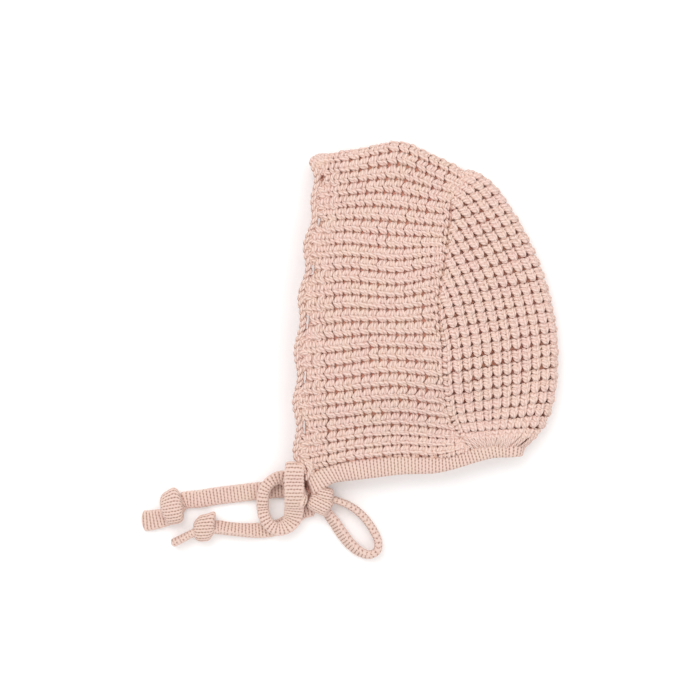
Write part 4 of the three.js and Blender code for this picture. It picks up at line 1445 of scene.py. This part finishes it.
class BONNET_OT_face_edging(bpy.types.Operator):
    """Crochets the scalloped edging round the face opening"""

    bl_idname = "bonnet.face_edging"
    bl_label = "Face edging"
    bl_options = {"REGISTER", "UNDO"}

    def execute(self, context):
        rng = np.random.default_rng(context.scene.bonnet_sizes.seed + 2)
        weave = Weave()
        ridges = np.linspace(-EDGING_END, EDGING_END, 1100)
        rope(
            weave,
            edging_middle,
            ridges,
            across=0.19,
            out=0.0004,
            radius=0.00105,
            turn_length=0.0072,
            twist=0.0009,
        )
        fans(weave, rng)
        turning_loops(weave)
        corner_wrap(weave)
        corner_strands(weave)
        hidden_strands(weave)
        edging = weave.piece("face_lace", yarn("chunky yarn"), "edging")
        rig.replaces(edging, "face_edging")
        return {"FINISHED"}


def fans(weave, rng):
    """The shell stitches: strands that fan out from the panel to the scalloped rope."""
    for side in (1, -1):
        for scallop in range(SCALLOPS):
            middle = FIRST_SCALLOP + SCALLOP_RIDGES * scallop
            for j in range(6):
                reach = (j / 5 - 0.5) * 2
                t = np.linspace(0, 1, 12)
                spread = 1.15 + (0.4 - 0.08 * scallop) * t
                ridge = middle + reach * spread + rng.uniform(-0.3, 0.3) * np.sin(2 * pi * t)
                if ridge.max() > EDGING_END or ridge.min() < EDGING_START:
                    continue
                across = 1.12 - t * 0.95
                out = 0.0004 + rng.uniform(0.0004, 0.0012) * np.sin(pi * t)
                weave.lay(edging_middle, ridge * side, across, out, 0.00115, least=0.0011)
            narrower = 0.06 + 0.11 * scallop
            crossing = ((0.42, 1.65 - narrower), (0.68, 1.75 - 0.7 * narrower), (0.94, 1.9))
            for across, reach in crossing:
                t = np.linspace(-1, 1, 20)
                ridge = middle + t * reach
                inside = (ridge < EDGING_END) & (ridge > EDGING_START)
                out = 0.0002 + 0.0005 * np.sin(t[inside] * 9)
                weave.lay(edging_middle, ridge[inside] * side, across, out, 0.0014, least=0.0014)


# The ridge on either layer that the corner's wrapping strands reach, and for each strand its place
# across the edging and its rise in mm.
WRAP_REACH = 1.9
WRAP_STRANDS = ((0.20, 1.1), (0.42, 1.7), (0.66, 2.0), (0.90, 1.9), (1.14, 1.4))


def corner_wrap(weave):
    """The strands that wrap the fold at the edging's upper corner."""
    ridge = np.linspace(-WRAP_REACH, WRAP_REACH, 26)
    for across, rise in WRAP_STRANDS:
        out = rise * MM * np.cos(ridge / WRAP_REACH * pi / 2)
        weave.lay(edging_middle, ridge, across, out, 0.0012, sides=7, least=0.0013)


# Strands from the edging's lower end to the neck band: x, ridge and rise in mm.
CORNER_ROUTES = (
    ((-0.0640, 24.0, 0.4), (-0.0634, 24.7, 0.9), (-0.0622, 25.4, 0.9), (-0.0606, 26.0, 0.3)),
    ((-0.0624, 24.3, 0.9), (-0.0606, 25.0, 1.5), (-0.0592, 25.6, 1.6), (-0.0580, 26.0, 1.0)),
    ((-0.0660, 23.9, 0.2), (-0.0656, 24.5, 0.5), (-0.0640, 25.0, 0.4), (-0.0622, 25.6, 0.0)),
    ((-0.0600, 24.6, 1.2), (-0.0588, 25.2, 1.9), (-0.0602, 25.8, 1.6), (-0.0616, 26.2, 0.8)),
)


def corner_strands(weave):
    """The strands that lead from the edging's lower end to the neck band."""
    for route in CORNER_ROUTES:
        knots = np.arange(len(route))
        t = np.linspace(0, knots[-1], 24)
        x, ridge, rise = (through(knots, values, t) for values in zip(*route))
        weave.lay(front_face, ridge, x, rise * MM, 0.0012, sides=7)


# The ridges of the upper layer whose first stitch stands out as a loop beside the edging.
TURNING_RIDGES = (3, 5, 7, 11, 13, 15, 17, 19, 23)


def turning_loops(weave):
    """The raised loops at the start of some of the upper layer's ridges."""
    for middle in TURNING_RIDGES:
        turn = np.linspace(-0.62, 0.62, 18) * pi
        ridge = middle + 0.50 * np.sin(turn)
        x = edge_of(ridge) + 0.0046 - 0.0020 * np.cos(turn)
        out = 0.0012 + 0.0009 * np.cos(turn * 0.8)
        weave.lay(front_face, ridge, x, out, 0.00105)


# The seam's two chains: how far from the seam, how thick and how high they lie. Then the length of a
# chain stitch.
CHAINS = ((-0.0010, 0.0011, 0.0004), (0.0007, 0.0010, -0.0006))
CHAIN_STITCH = 0.0045


class BONNET_OT_seam(bpy.types.Operator):
    """Lays the chain of stitches along the curved seam"""

    bl_idname = "bonnet.seam"
    bl_label = "Seam"
    bl_options = {"REGISTER", "UNDO"}

    def execute(self, context):
        weave = Weave()
        rows = np.linspace(-3.5, LAST_ROW, 500)
        wales = back_row_wales(rows)
        for sign in (1, -1):
            points = back_middle(sign * wales, rows)
            normal = np.tile([0, 0, float(sign)], (len(rows), 1))
            across = np.cross(normal, unit(np.gradient(points, axis=0)))
            wave = np.abs(np.sin(pi * way_along(points) / CHAIN_STITCH))[:, None]
            for offset, radius, rise in CHAINS:
                line = points + normal * (rise + 0.0009 * wave) + across * (offset + 0.0003 * wave)
                line[:, 2] = np.maximum(line[:, 2], radius)
                thick = radius * (0.7 + 0.45 * wave[:, 0])
                # Each chain stitch's height sets its painted light and shade.
                weave.tube(line, thick, normal, out=rise + 0.001 * wave[:, 0])
        weave.piece("seam_chain", yarn("chunky yarn"), "knit")
        return {"FINISHED"}


class BONNET_PT_panel(bpy.types.Panel):
    """Lists the bonnet's pieces"""

    bl_label = "Chunky Knit Bonnet"
    bl_idname = "BONNET_PT_panel"
    bl_space_type = "VIEW_3D"
    bl_region_type = "UI"
    bl_category = "Bonnet"

    def draw(self, context):
        for operator in OPERATORS:
            self.layout.operator(operator.bl_idname)
        for group in (context.scene.bonnet_sizes, context.scene.bonnet_colours):
            for name in group.bl_rna.properties.keys():
                if name not in ("rna_type", "name"):
                    self.layout.prop(group, name)


OPERATORS = (
    BONNET_OT_stage,
    BONNET_OT_ties,
    BONNET_OT_front_panel,
    BONNET_OT_back_panel,
    BONNET_OT_seam,
    BONNET_OT_face_edging,
    BONNET_OT_neck_band,
)
CLASSES = (BonnetSizes, BonnetColours, *OPERATORS, BONNET_PT_panel)


def register():
    for made in CLASSES:
        bpy.utils.register_class(made)
    bpy.types.Scene.bonnet_sizes = PointerProperty(type=BonnetSizes)
    bpy.types.Scene.bonnet_colours = PointerProperty(type=BonnetColours)


def unregister():
    del bpy.types.Scene.bonnet_colours
    del bpy.types.Scene.bonnet_sizes
    for made in reversed(CLASSES):
        bpy.utils.unregister_class(made)


def main():
    register()
    bpy.ops.bonnet.stage()
    bpy.ops.bonnet.ties()
    bpy.ops.bonnet.front_panel()
    bpy.ops.bonnet.back_panel()
    bpy.ops.bonnet.seam()
    bpy.ops.bonnet.face_edging()
    bpy.ops.bonnet.neck_band()
    sizes = {
        "cad": [list(corner) for corner in cad_box],
        "visual": [list(corner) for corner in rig.bounds()],
    }
    with open("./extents.json", "w") as file:
        json.dump(sizes, file)


if __name__ == "__main__":
    main()
